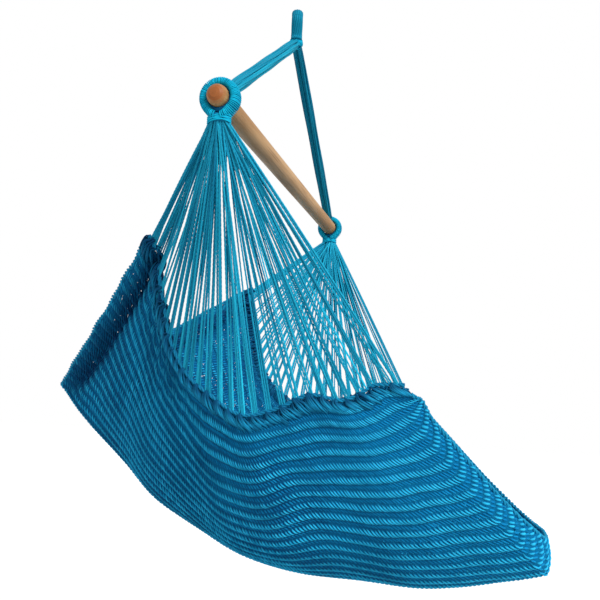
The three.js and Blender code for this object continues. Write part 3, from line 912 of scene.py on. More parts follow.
@dataclass
class Studio:
    """The photograph's camera, soft light, and a pale floor."""

    finishes: Finishes
    place: Triple = (-1.619, -0.405, -0.835)
    yaw: float = math.radians(12.91)
    pitch: float = math.radians(6.9)
    roll: float = math.radians(2.48)
    lens: float = 47.09
    sensor: float = 36.0
    floor_height: float = -1.72
    floor_half: float = 14.0
    ambient: float = 0.70
    sun_strength: float = 2.7
    sun_width: float = math.radians(25)
    sun_tilt: float = math.radians(60)
    sun_turn: float = math.radians(-40)

    def axes(self) -> tuple[Array, Array, Array]:
        """The camera's right, up and forward directions.

        Returns:
            The three unit directions.
        """
        level = math.cos(self.pitch)
        forward = [level * math.cos(self.yaw), level * math.sin(self.yaw), math.sin(self.pitch)]
        right = unit(np.cross(forward, [0.0, 0.0, 1.0]))
        up = np.cross(right, forward)
        c, s = math.cos(self.roll), math.sin(self.roll)
        return c * right + s * up, c * up - s * right, np.array(forward)

    def make_camera(self) -> None:
        """Sets up the camera of the photograph's view."""
        right, up, forward = self.axes()
        data = bpy.data.cameras.new("camera")
        data.lens = self.lens
        data.sensor_width = self.sensor
        camera = bpy.data.objects.new("camera", data)
        matrix = np.eye(4)
        matrix[:3] = np.stack([right, up, -forward, self.place], 1)
        camera.matrix_world = Matrix(matrix.tolist())
        bpy.context.scene.collection.objects.link(camera)
        bpy.context.scene.camera = camera

    def make_light(self) -> None:
        """Sets the white surroundings and one wide sun."""
        world = bpy.data.worlds.new("surroundings")
        world.use_nodes = True
        tree = world.node_tree
        back = tree.nodes["Background"]
        path = tree.nodes.new("ShaderNodeLightPath")
        level = tree.nodes.new("ShaderNodeMapRange")
        level.inputs["To Min"].default_value = self.ambient
        level.inputs["To Max"].default_value = 1.0
        tree.links.new(path.outputs["Is Camera Ray"], level.inputs["Value"])
        tree.links.new(level.outputs[0], back.inputs["Strength"])
        back.inputs["Color"].default_value = (1.0, 1.0, 1.0, 1.0)
        bpy.context.scene.world = world
        data = bpy.data.lights.new("sun", "SUN")
        data.energy = self.sun_strength
        data.angle = self.sun_width
        sun = bpy.data.objects.new("sun", data)
        sun.rotation_euler = (self.sun_tilt, 0.0, self.sun_turn)
        bpy.context.scene.collection.objects.link(sun)
        bpy.context.scene.view_settings.view_transform = "Standard"

    def make_floor(self) -> None:
        """Lays the floor under the chair."""
        half, z = self.floor_half, self.floor_height
        mesh = bpy.data.meshes.new("floor")
        corners = [(-half, -half, z), (half, -half, z), (half, half, z), (-half, half, z)]
        mesh.from_pydata(corners, [], [(0, 1, 2, 3)])
        mesh.materials.append(self.finishes.of(self.finishes.floor))
        floor = bpy.data.objects.new("floor", mesh)
        bpy.context.scene.collection.objects.link(floor)


@dataclass
class Harness:
    """The sizes that the loop, the throat, the legs and the eyes share."""

    hook_to_bar: float = 0.373
    eye_offset: float = 0.480
    bar_radius: float = 17.5 * MM
    knot_height: float = -57 * MM
    knot_radius: float = 15 * MM
    foot_offset: float = 0.430
    foot_height: float = 35 * MM

    def axle(self, side: Side) -> Array:
        """The middle of the bar inside an eye."""
        return np.array([side.value * self.eye_offset, 0.0, -self.hook_to_bar])

    def foot(self, side: Side) -> Array:
        """Where a leg meets the shoulder of its eye."""
        return np.array([side.value * self.foot_offset, 0.0, -self.hook_to_bar + self.foot_height])

    def knot(self) -> Array:
        """The middle of the throat."""
        return np.array([0.0, 0.0, self.knot_height])


@dataclass
class HangingLoop(Part):
    """The loop over the hook: parallel yarns in a long lay."""

    harness: Harness
    rope_radius: float = 9.2 * MM
    opening: float = 35 * MM
    leg_spacing: float = 23 * MM
    yarns: int = 14
    yarn_radius: float = 2.7 * MM
    core_yarns: int = 5
    core_ring: float = 0.4
    core_size: float = 1.6
    lay: float = 0.45
    flat: float = 1.5
    turn: float = math.radians(14)
    limb_heights: tuple[float, float] = (3 * MM, 15 * MM)
    bend_steps: int = 6
    samples: int = 120
    tones: tuple[float, float] = (0.1, 0.6)
    shade: float = 0.85
    seed: int = 3

    def route(self) -> Array:
        """The loop's centreline, from one limb at the throat over the top to the other.

        Returns:
            The points of the line.
        """
        bend = self.opening / 2 + self.rope_radius
        top = self.rope_radius - bend
        half = self.leg_spacing / 2
        z = self.harness.knot_height
        left = [[-half, 0, z + height] for height in self.limb_heights]
        for i in range(self.bend_steps):
            angle = math.pi - (i / self.bend_steps) * (math.pi / 2)
            left.append([bend * math.cos(angle), 0, top + bend * math.sin(angle)])
        right = [[-x, y, z_] for x, y, z_ in reversed(left)]
        line = smooth_curve([*left, [0, 0, self.rope_radius], *right], self.samples)
        reach = line[:, 0].copy()
        line[:, 0] = reach * math.cos(self.turn)
        line[:, 1] = reach * math.sin(self.turn)
        return line

    def build(self) -> None:
        """Makes the loop."""
        rng = np.random.default_rng(self.seed)
        strands = Strands()
        line = self.route()
        broad = (-math.sin(self.turn), math.cos(self.turn), 0.0)
        ring = self.rope_radius - self.yarn_radius
        outer = (self.yarns, ring, self.yarn_radius)
        core = (self.core_yarns, self.core_ring * ring, self.core_size * self.yarn_radius)
        looks = {"first": broad, "flat": self.flat, "tones": self.tones, "shade": self.shade}
        for layer in (outer, core):
            strands.rope(line, *layer, self.lay, rng, **looks)
        self.piece(strands, self.finishes.rope, "loop_yarns", "loop", "hanging_loop")


@dataclass
class ThroatKnot(Part):
    """The throat: yarns wound in slanted turns over a ball.

    Each family of turns has its lean, its spread over the ball, its number and its lift.
    """

    harness: Harness
    families: tuple[tuple[float, float, int, float], ...] = (
        (0.52, 0.88, 10, 0.0), (-0.30, 0.30, 4, 0.5 * MM),
    )
    sideways: float = 0.12
    jitter: float = 0.02
    yarn_radius: float = 1.8 * MM
    inset: float = 1.2 * MM
    least_girth: float = 0.2 * MM
    most_tone: float = 0.7
    seed: int = 5

    def build(self) -> None:
        """Makes the ball and its windings."""
        rng = np.random.default_rng(self.seed)
        centre = self.harness.knot()
        radius = self.harness.knot_radius - self.yarn_radius
        core = Strands()
        tilt = np.linspace(-1, 1, 17) * (math.pi / 2) * 0.97
        axis = centre + np.stack([0 * tilt, 0 * tilt, np.sin(tilt) * (radius - self.inset)], 1)
        girth = np.cos(tilt) * (radius - self.inset) + self.least_girth
        core.add(axis[None], REARWARD, girth, girth, 20, tone=0.2, shade=0.4)
        self.piece(core, self.finishes.lump, "throat_ball", "throat", "throat_knot")
        strands = Strands()
        turn = circle(40)[:, None]
        for lean, spread, count, lift in self.families:
            normal = unit(np.array([self.sideways, math.sin(lean), math.cos(lean)]))
            first = unit(np.cross(normal, [1.0, 0.0, 0.0]))
            out = np.cos(turn) * first + np.sin(turn) * np.cross(normal, first)
            for share in np.linspace(-spread, spread, count):
                reach = radius * math.sqrt(1 - share**2) + lift
                reach = reach * (1 + self.jitter * rng.normal())
                line = centre + normal * radius * share + out * reach
                strands.turn(line, out, self.yarn_radius, tone=rng.uniform(0.0, self.most_tone))
        finish = self.finishes.whipping
        self.piece(strands, finish, "throat_winding", "throat", "throat_binding")


@dataclass
class HarnessLeg(SidePart):
    """One leg of the harness: cords, each of yarns that run almost straight beside each other.

    The looks of each leg are the least and the greatest tone of its cords, and its painted shade:
    the left leg is the darker one.
    """

    harness: Harness
    cords: int = 6
    ring: float = 8.2 * MM
    cord_diameter: float = 7 * MM
    yarns: int = 4
    yarn_ring: float = 2.35 * MM
    yarn_radius: float = 2.35 * MM
    lay: float = 0.75
    lead: float = 12 * MM
    full_from: float = 50 * MM
    stations: Triple = (0.35, 0.65, 0.9)
    end_rings: tuple[float, float] = (0.9, 0.8)
    end_rise: float = 2 * MM
    crown_height: float = 26 * MM
    crown_inset: float = 8 * MM
    crown_ring: float = 4 * MM
    samples: int = 150
    thinned: float = 0.82
    thin_shares: tuple[float, float] = (0.16, 0.10)
    looks: tuple[Triple, Triple] = ((0.05, 0.75, 1.0), (0.0, 0.35, 0.75))
    tone_range: float = 0.25
    seed: int = 11

    def cord_line(self, number: int) -> Array:
        """The centreline of one cord, from the throat to the crown of the eye.

        Args:
            number: The cord's number, from 0.

        Returns:
            The points of the line.
        """
        foot, knot = self.harness.foot(self.side), self.harness.knot()
        along = unit(foot - knot)
        across = np.array(REARWARD)
        angle = 2 * math.pi * number / self.cords
        shift = across * math.cos(angle) + np.cross(along, across) * math.sin(angle)
        crown = self.harness.axle(self.side) + [0.0, 0.0, self.crown_height]
        inward = [-self.side.value * self.crown_inset, 0, self.end_rise]
        top_ring, foot_ring = (self.ring * share for share in self.end_rings)
        route = [
            knot + along * self.lead + shift * top_ring,
            knot + along * self.full_from + shift * self.ring,
            *(knot + (foot - knot) * s + shift * self.ring for s in self.stations),
            foot + along * self.lead + shift * foot_ring + [0, 0, self.end_rise],
            crown + inward + shift * self.crown_ring,
        ]
        return smooth_curve(route, self.samples)

    def build(self) -> None:
        """Makes the cords of the leg."""
        rng = self.rng(self.seed)
        low, high, shade = self.looks[0 if self.side is Side.RIGHT else 1]
        for number in range(self.cords):
            line = self.cord_line(number)
            strands = Strands()
            ends = np.linspace(0, 1, len(line))
            top, foot = self.thin_shares
            full = eased(ends / top) * eased((1 - ends) / foot)
            taper = self.thinned + (1 - self.thinned) * full
            tone = rng.uniform(low, high)
            strands.rope(
                line, self.yarns, self.yarn_ring, self.yarn_radius, self.lay, rng, taper=taper,
                tones=(tone, tone + self.tone_range), shade=shade,
            )
            name, replaced = f"leg_yarns_{number + 1}", f"leg_cord_{number + 1}"
            piece = self.piece(strands, self.finishes.rope, name, "harness", replaced)
            self.say_cord(piece, line, self.cord_diameter)


@dataclass
class Eye(SidePart):
    """The whipped eye round one end of the bar."""

    harness: Harness
    middle_radius: float = 25.8 * MM
    drop: float = 4.5 * MM
    drop_start: float = (2.2 / 3) * math.pi
    half_out: float = 6.0 * MM
    half_wide: float = 13.6 * MM
    squareness: float = 2.6
    wraps: int = 31
    limb_span: float = 0.95 * math.pi
    slant: float = 0.02
    wobble: float = 0.01
    jitter: float = 0.006
    tones: tuple[float, float] = (0.1, 0.9)
    core_shares: tuple[float, float] = (0.95, 0.9)
    wrap_radius: float = 1.15 * MM
    wrap_lift: float = 0.4 * MM
    bush_yarns: int = 13
    bush_half: float = 10 * MM
    bush_radius: float = 0.75 * MM
    bush_gap: float = 0.7 * MM
    lining_yarns: int = 9
    lining_half: float = 9.5 * MM
    lining_radius: float = 1.25 * MM
    lining_gap: float = 0.6 * MM
    lining_depths: tuple[float, float] = (0.8, 1.7)
    lining_angles: Triple = (0.62, 0.40, 0.20)
    seed: int = 21
    lining_seed: int = 25

    def middle(self, angle: Array) -> Array:
        """The radius of the band's middle line at an angle from the top of the bar."""
        held = np.abs((angle + math.pi) % (2 * math.pi) - math.pi) - self.drop_start
        return self.middle_radius + self.drop * eased(held / (math.pi - self.drop_start))

    def section(self, angle: Array, turn: Array, out: float, wide: float) -> Array:
        """Points round the band's section.

        Args:
            angle: The section's angle from the top of the bar.
            turn: The angles round the section.
            out: The section's half height.
            wide: Its half width.

        Returns:
            The points.
        """
        c, s = np.cos(turn), np.sin(turn)
        power = self.squareness
        squared = (np.abs(c) ** power + np.abs(s) ** power) ** (-1 / power)
        reach = self.middle(angle) + out * c * squared
        x, _, z = self.harness.axle(self.side)
        places = (x + wide * s * squared, reach * np.sin(angle), z + reach * np.cos(angle))
        return np.stack(np.broadcast_arrays(*places), -1)

    def build(self) -> None:
        """Makes the band's core, its lining and the wraps on its two limbs."""
        finishes = self.finishes
        core = Strands()
        angles = np.linspace(-math.pi, math.pi, 73)[None, :-1]
        lines = self.section(angles, np.zeros((1, 1)), 0.0, 0.0)
        radial = unit(lines - self.harness.axle(self.side))
        wide, high = self.core_shares
        size = (self.half_wide * wide, self.half_out * high)
        core.add(lines, radial, *size, 16, closed=True, tone=0.2, shade=0.5)
        self.piece(core, finishes.lump, "eye_band", "harness", "eye_core")
        self.build_lining()
        rng = self.rng(self.seed)
        turn = circle(24)
        for limb, label in ((1, "rear"), (-1, "front")):
            strands = Strands()
            for i in range(self.wraps):
                angle = limb * ((i + 0.5) / self.wraps) * self.limb_span
                lean = self.wobble * math.sin(i * 0.7) + self.jitter * rng.normal()
                size = (self.half_out + self.wrap_lift, self.half_wide + self.wrap_lift)
                line = self.section(angle + lean + self.slant * np.sin(turn), turn, *size)
                centre = self.section(np.full_like(turn, angle), turn * 0, 0.0, 0.0)
                tone = rng.uniform(*self.tones)
                strands.turn(line, unit(line - centre), self.wrap_radius, tone=tone)
            name, replaced = f"eye_{label}_wraps", f"eye_{label}_whipping"
            self.piece(strands, finishes.whipping, name, "harness", replaced)

    def build_lining(self) -> None:
        """Makes the yarns inside the band, round the bar and in layers under it, in painted shade
        that darkens the gap under the bar.
        """
        rng = self.rng(self.lining_seed)
        strands = Strands()
        axle = self.harness.axle(self.side)
        bar, thin = self.harness.bar_radius, self.bush_radius
        places = np.linspace(-self.bush_half, self.bush_half, self.bush_yarns)
        reach = bar + self.bush_gap + thin
        yarns = [(circle(60), reach, x, thin, {"sides": 5}) for x in places]
        places = np.linspace(-self.lining_half, self.lining_half, self.lining_yarns)
        start, step = self.lining_depths
        for layer, half_angle in enumerate(self.lining_angles):
            angle = math.pi + np.linspace(-half_angle, half_angle, 15)
            inner = self.middle(angle) - self.half_out
            reach = inner - self.lining_radius * (start + step * layer)
            reach = np.maximum(reach, bar + self.lining_gap + self.lining_radius)
            yarns += [(angle, reach, x, self.lining_radius, {"closed": False}) for x in places]
        for angle, reach, x, radius, form in yarns:
            line = (0 * angle + x, reach * np.sin(angle), reach * np.cos(angle))
            line = axle + np.stack(line, 1)
            tone = rng.uniform(0, 0.5)
            strands.turn(line, unit(line - axle), radius, tone=tone, shade=0.3, **form)
        self.piece(strands, self.finishes.lump, "eye_lining", "harness")


@dataclass
class SpreaderBar(Part):
    """The wooden bar, which keeps its CAD shape and gets its wood."""

    bar: bpy.types.Object

    def build(self) -> None:
        """Dresses the bar's own node and reports it."""
        self.bar.data.materials.clear()
        self.bar.data.materials.append(self.finishes.of(self.finishes.wood))
        smooth = np.ones(len(self.bar.data.polygons), bool)
        self.bar.data.polygons.foreach_set("use_smooth", smooth)
        LOG.info("%s, in %s", self.bar.name, self.finishes.wood.name)


@dataclass
class Collar(SidePart):
    """The bound neck under an eye, where the strings leave."""

    harness: Harness
    half_long: float = 18.5 * MM
    half_wide: float = 12 * MM
    saddle: float = 30.5 * MM
    height: float = 10 * MM
    inset: float = 1 * MM
    turns: int = 5
    turn_start: float = 1.6 * MM
    turn_pitch: float = 1.9 * MM
    turn_lean: float = 2.6 * MM
    turn_wave: float = 0.8 * MM
    turn_gap: float = 0.3 * MM
    turn_jitter: float = 0.5 * MM
    turn_tones: tuple[float, float] = (0.2, 0.9)
    yarn_radius: float = 1.25 * MM
    seed: int = 31

    def foot(self) -> float:
        """The height of the collar's lower end."""
        return -self.harness.hook_to_bar - self.saddle - self.height

    def build(self) -> None:
        """Makes the neck and the turns that bind it."""
        rng = self.rng(self.seed)
        x = self.side.value * self.harness.eye_offset
        neck = Strands()
        z = np.linspace(self.foot() + 1 * MM, self.foot() + self.height + 4 * MM, 9)
        line = np.stack([np.full_like(z, x), 0 * z, z], 1)
        size = (self.half_wide - self.inset, self.half_long - self.inset)
        neck.add(line[None], REARWARD, *size, 24, tone=0.3, shade=0.6)
        self.piece(neck, self.finishes.lump, "neck", "seat", "eye_collar")
        strands = Strands()
        turn = circle(44)
        wide, long = self.half_wide + self.turn_gap, self.half_long + self.turn_gap
        for i in range(self.turns):
            lean = self.turn_jitter * rng.normal() + self.turn_lean * (1 if i % 2 else -1)
            z = self.foot() + self.turn_start + self.turn_pitch * i
            z = z + lean * np.sin(turn) + self.turn_wave * np.cos(2 * turn)
            line = np.stack([x + wide * np.cos(turn), long * np.sin(turn), z], 1)
            out = unit((line - [x, 0.0, 0.0]) * [1, 1, 0])
            strands.turn(line, out, self.yarn_radius, tone=rng.uniform(*self.turn_tones))
        self.piece(strands, self.finishes.whipping, "neck_binding", "seat", "collar_binding")


@dataclass
class Header(SidePart):
    """The header cord of one side, with the knots that tie the strings to the cloth."""

    surface: ClothSurface
    cord_diameter: float = 9 * MM
    standoff: float = 5.0 * MM
    plies: int = 3
    ply_ring: float = 2.0 * MM
    ply_radius: float = 1.9 * MM
    ply_lay: float = 26 * MM
    stations: int = 45
    samples: int = 260
    knots: int = 28
    tails: int = 8
    tail_start: float = 8 * MM
    tail_depth: float = 24 * MM
    tail_bulge: float = 6.5 * MM
    tail_lean: float = 0.55
    tail_bow: float = 6 * MM
    tail_samples: int = 10
    tail_waist: float = 0.34
    tail_scatter: tuple[float, float] = (0.15, 0.3)
    torn_size: float = 0.45
    torn_shade: float = 0.5
    yarn_radius: float = 1.7 * MM
    ragged: int = 9
    inner_shade: float = 0.45
    cord_seed: int = 41
    knot_seed: int = 43

    def knot_shares(self) -> Array:
        """The places of the knots along the header."""
        return (np.arange(self.knots) + 0.5) / self.knots

    def build_cord(self) -> None:
        """Makes the cord that runs along the header."""
        rng = self.rng(self.cord_seed)
        places = np.linspace(0, 1, self.stations)
        line = smooth_curve(self.surface.beyond(self.side, places, self.standoff), self.samples)
        strands = Strands()
        plies = (self.plies, self.ply_ring, self.ply_radius, self.ply_lay)
        strands.rope(line, *plies, rng, shade=0.55)
        cord = self.piece(strands, self.finishes.lump, "header_rope", "seat", "header_cord")
        self.say_cord(cord, line, self.cord_diameter)

    def place(self, share: Array, depth: Array, height: Array) -> Array:
        """Points by the header, on either side of its edge.

        Args:
            share: The places along the header.
            depth: How far each point lies into the cloth, below zero on the strings' side.
            height: How far each point stands out from the cloth's middle.

        Returns:
            The points, with one more axis than share.
        """
        edge = np.full_like(share, float(self.side.value))
        girth = np.linalg.norm(self.surface.read(self.surface.cross_step, edge, share), axis=-1)
        across = self.side.value * (1 - np.maximum(depth, 0) / girth)
        inside, normal = self.surface.at(across, share)
        outer, inner = (self.surface.beyond(self.side, share, out) for out in (1.0, 0.0))
        beyond = (outer - inner) * np.maximum(-depth, 0)[..., None]
        return inside + beyond + normal * height[..., None]

    def build_knots(self) -> None:
        """Makes the knots: gathered yarns that run over the cord and spread into the cloth."""
        rng = self.rng(self.knot_seed)
        strands = Strands()
        for number, share in enumerate(self.knot_shares()):
            torn = max(0.0, 1 - number / self.ragged) ** 0.7
            for face in Face:
                self.add_knot(strands, share, torn, face, rng)
        self.piece(strands, self.finishes.lump, "header_knots", "seat")

    def add_knot(
        self, strands: Strands, share: float, torn: float, face: Face, rng: np.random.Generator
    ) -> None:
        """Adds the yarns of one knot on one face of the cloth.

        Args:
            strands: Where the yarns go.
            share: The knot's place along the header.
            torn: How ragged the knot is, from 0 to 1.
            face: The face of the cloth.
            rng: The random numbers for its yarns.
        """
        run = np.linspace(0, 1, self.tail_samples)[None, :]
        shape = (self.tails, 1)
        bold = rng.uniform(0.8, 1.2) * (1 + self.torn_size * torn)
        scatter = self.tail_scatter[0] + self.tail_scatter[1] * torn
        fan = np.linspace(-1, 1, self.tails)[:, None] + rng.normal(0, scatter, shape)
        fullness = np.minimum(fan**2, 1)
        width = self.tail_waist + (1 - self.tail_waist) * eased(run * 2.8)
        width = width * 0.5 / self.knots * bold
        lean = -self.side.value * self.tail_lean * (run - 0.3) / self.knots
        places = np.clip(share + fan * width + lean, 0, 1)
        depth = -self.tail_start + (self.tail_depth + self.tail_start) * run
        depth = depth * rng.uniform(0.9, 1.1, shape) * bold
        depth = depth + self.tail_bow * fan**2 * (1 - run)
        hump = np.sin(math.pi * np.clip(run * 1.1, 0, 1)) ** 0.7 * (1 - 0.65 * fullness)
        height = face.value * (1.0 * MM + self.tail_bulge * bold * np.maximum(hump, 0))
        lines = self.place(places, depth, height)
        size = self.yarn_radius * rng.uniform(0.85, 1.2, shape) * (1 - 0.35 * run**3)
        up = unit(lines - self.place(places, depth, height * 0))
        # Painted shade on the knot's yarns: darker at their tops, at the fan's sides, in the
        # ragged knots and on the inner face.
        light = (0.22 + 0.78 * eased(run * 2.4 - 0.4)) * (1 - 0.4 * run**3)
        light = light * (1 - self.torn_shade * torn)
        light = light * (1.0 if face is Face.OUTER else self.inner_shade)
        light = light * (1 - 0.4 * fullness) * rng.uniform(0.7, 1)
        tone = np.minimum(1, rng.uniform(0.15, 1.25, self.tails))
        strands.add(lines, up, size, size, tone=tone, shade=light)


@dataclass
class Fan(SidePart):
    """The strings of one side, from the neck under the eye to the header's knots."""

    harness: Harness
    collar: Collar
    header: Header
    bundles: int = 6
    per_bundle: int = 22
    string_radius: float = 1.65 * MM
    plies: int = 3
    ply_ring: float = 0.42
    ply_radius: float = 0.60
    lay: float = 24 * MM
    ring_step: float = 3.4 * MM
    rear_extra: int = 15
    front_extra: int = 4
    neck_inset: float = 3 * MM
    scatter: float = 0.0012
    drawn: float = 0.45
    rear_reach: tuple[float, float] = (-0.008, 0.07)
    front_reach: tuple[float, float] = (-0.05, 0.008)
    disorder: float = 0.30
    largest_group: int = 5
    bow: float = 1.8 * MM
    pull: float = 0.35
    peaks: tuple[float, float] = (0.30, 0.60)
    sizes: tuple[float, float] = (0.85, 1.15)
    shades: tuple[float, float] = (0.6, 1.0)
    tone_spread: float = 0.8
    seed: int = 51

    def targets(self, rng: np.random.Generator) -> Array:
        """The places along the header where the strings are tied.

        Args:
            rng: The random numbers for them.

        Returns:
            Their shares of the header, in order from the rear.
        """
        spread = self.bundles * self.per_bundle - self.rear_extra - self.front_extra
        knots = self.header.knot_shares()
        even = (np.arange(spread) + 0.5) / spread
        nearest = knots[np.abs(even[:, None] - knots[None]).argmin(1)]
        drawn = nearest + (even - nearest) * self.drawn + rng.normal(0, self.scatter, len(even))
        rear = knots[0] + np.linspace(*self.rear_reach, self.rear_extra)
        front = knots[-1] + np.linspace(*self.front_reach, self.front_extra)
        return np.sort(np.r_[drawn, rear, front])

    def gathered(self, lines: Array, rng: np.random.Generator) -> Array:
        """Draws neighbouring strings together in loose groups over the middle of their way.

        Args:
            lines: The straight strings, from the rear, as strings by samples by three.
            rng: The random numbers for the groups.

        Returns:
            The strings, drawn together.
        """
        share = np.linspace(0, 1, lines.shape[1])[:, None]
        drawn = lines.copy()
        first = 0
        while first < len(lines) - self.front_extra:
            last = min(len(lines), first + int(rng.integers(1, self.largest_group + 1)))
            middle = lines[first:last].mean(axis=0)
            peak, pull = rng.uniform(*self.peaks), rng.uniform(0.0, self.pull)
            weight = pull * np.sin(math.pi * share ** (math.log(0.5) / math.log(peak)))
            drawn[first:last] += (middle - lines[first:last]) * weight
            first = last
        return drawn

    def strings(self, rng: np.random.Generator) -> Array:
        """The centrelines of the strings.

        Args:
            rng: The random numbers for them.

        Returns:
            The lines, from the rear, as strings by samples by three.
        """
        places = self.targets(rng)
        total = len(places)
        ends = self.header.surface.beyond(self.side, places, self.header.standoff)
        order = np.linspace(1, -1, total) + rng.normal(0, self.disorder, total)
        order = np.clip(order, -1, 1)
        room = (self.collar.half_wide - self.neck_inset) * np.sqrt(np.maximum(0.1, 1 - order**2))
        x = self.side.value * self.harness.eye_offset + rng.uniform(-1, 1, total) * room
        y = order * (self.collar.half_long - self.neck_inset)
        starts = np.stack([x, y, 0 * order + self.collar.foot() + 2 * MM], 1)
        reach = np.linalg.norm(ends - starts, axis=1).max()
        share = np.linspace(0, 1, int(reach / self.ring_step))[None, :, None]
        lines = self.gathered(starts[:, None] + (ends - starts)[:, None] * share, rng)
        bow = rng.normal(0, self.bow, (total, 1, 3))
        return lines + bow * np.sin(math.pi * share) * (1 - 0.4 * share)

    def build(self) -> None:
        """Makes the bundles of strings."""
        rng = self.rng(self.seed)
        lines = self.strings(rng)
        for bundle in range(self.bundles):
            strands = Strands()
            for line in lines[bundle * self.per_bundle : (bundle + 1) * self.per_bundle]:
                size = self.string_radius * rng.uniform(*self.sizes)
                tone = 0.9 * rng.beta(self.tone_spread, self.tone_spread)
                strands.rope(
                    line, self.plies, size * self.ply_ring, size * self.ply_radius, self.lay, rng,
                    sides=5, tones=(tone, tone + 0.1), shade=rng.uniform(*self.shades),
                )
            name, replaced = f"strings_{bundle + 1}", f"fan_{bundle + 1}"
            self.piece(strands, self.finishes.string, name, "seat", replaced)


@dataclass
class EdgeCord(Part):
    """The cord along the rear or the front edge of the cloth."""

    surface: ClothSurface
    edge: Edge
    diameter: float = 8 * MM
    standoff: float = 1.0 * MM
    inset: float = 0.03
    plies: int = 2
    ply_ring: float = 1.9 * MM
    ply_radius: float = 2.1 * MM
    ply_lay: float = 19 * MM
    samples: int = 420
    bead: float = 0.16
    bead_step: float = 1.9
    bead_jitter: float = 0.08
    seed: int = 61

    @property
    def prefix(self) -> str:
        """What its piece's name and that of its node start with."""
        return f"{self.edge.label}_"

    def build(self) -> None:
        """Makes the cord."""
        rng = np.random.default_rng(self.seed + self.edge.value)
        across = np.linspace(-1 + self.inset, 1 - self.inset, self.samples)
        line = self.surface.beyond(self.edge, across, self.standoff)
        strands = Strands()
        bead = 1 + self.bead * np.sin(np.arange(self.samples) * self.bead_step)
        bead = bead + self.bead_jitter * rng.normal(size=self.samples)
        plies = (self.plies, self.ply_ring, self.ply_radius, self.ply_lay)
        strands.rope(line, *plies, rng, taper=bead, shade=0.5)
        cord = self.piece(strands, self.finishes.crest, "edge_rope", "seat", "edge_cord")
        self.say_cord(cord, line, self.diameter)


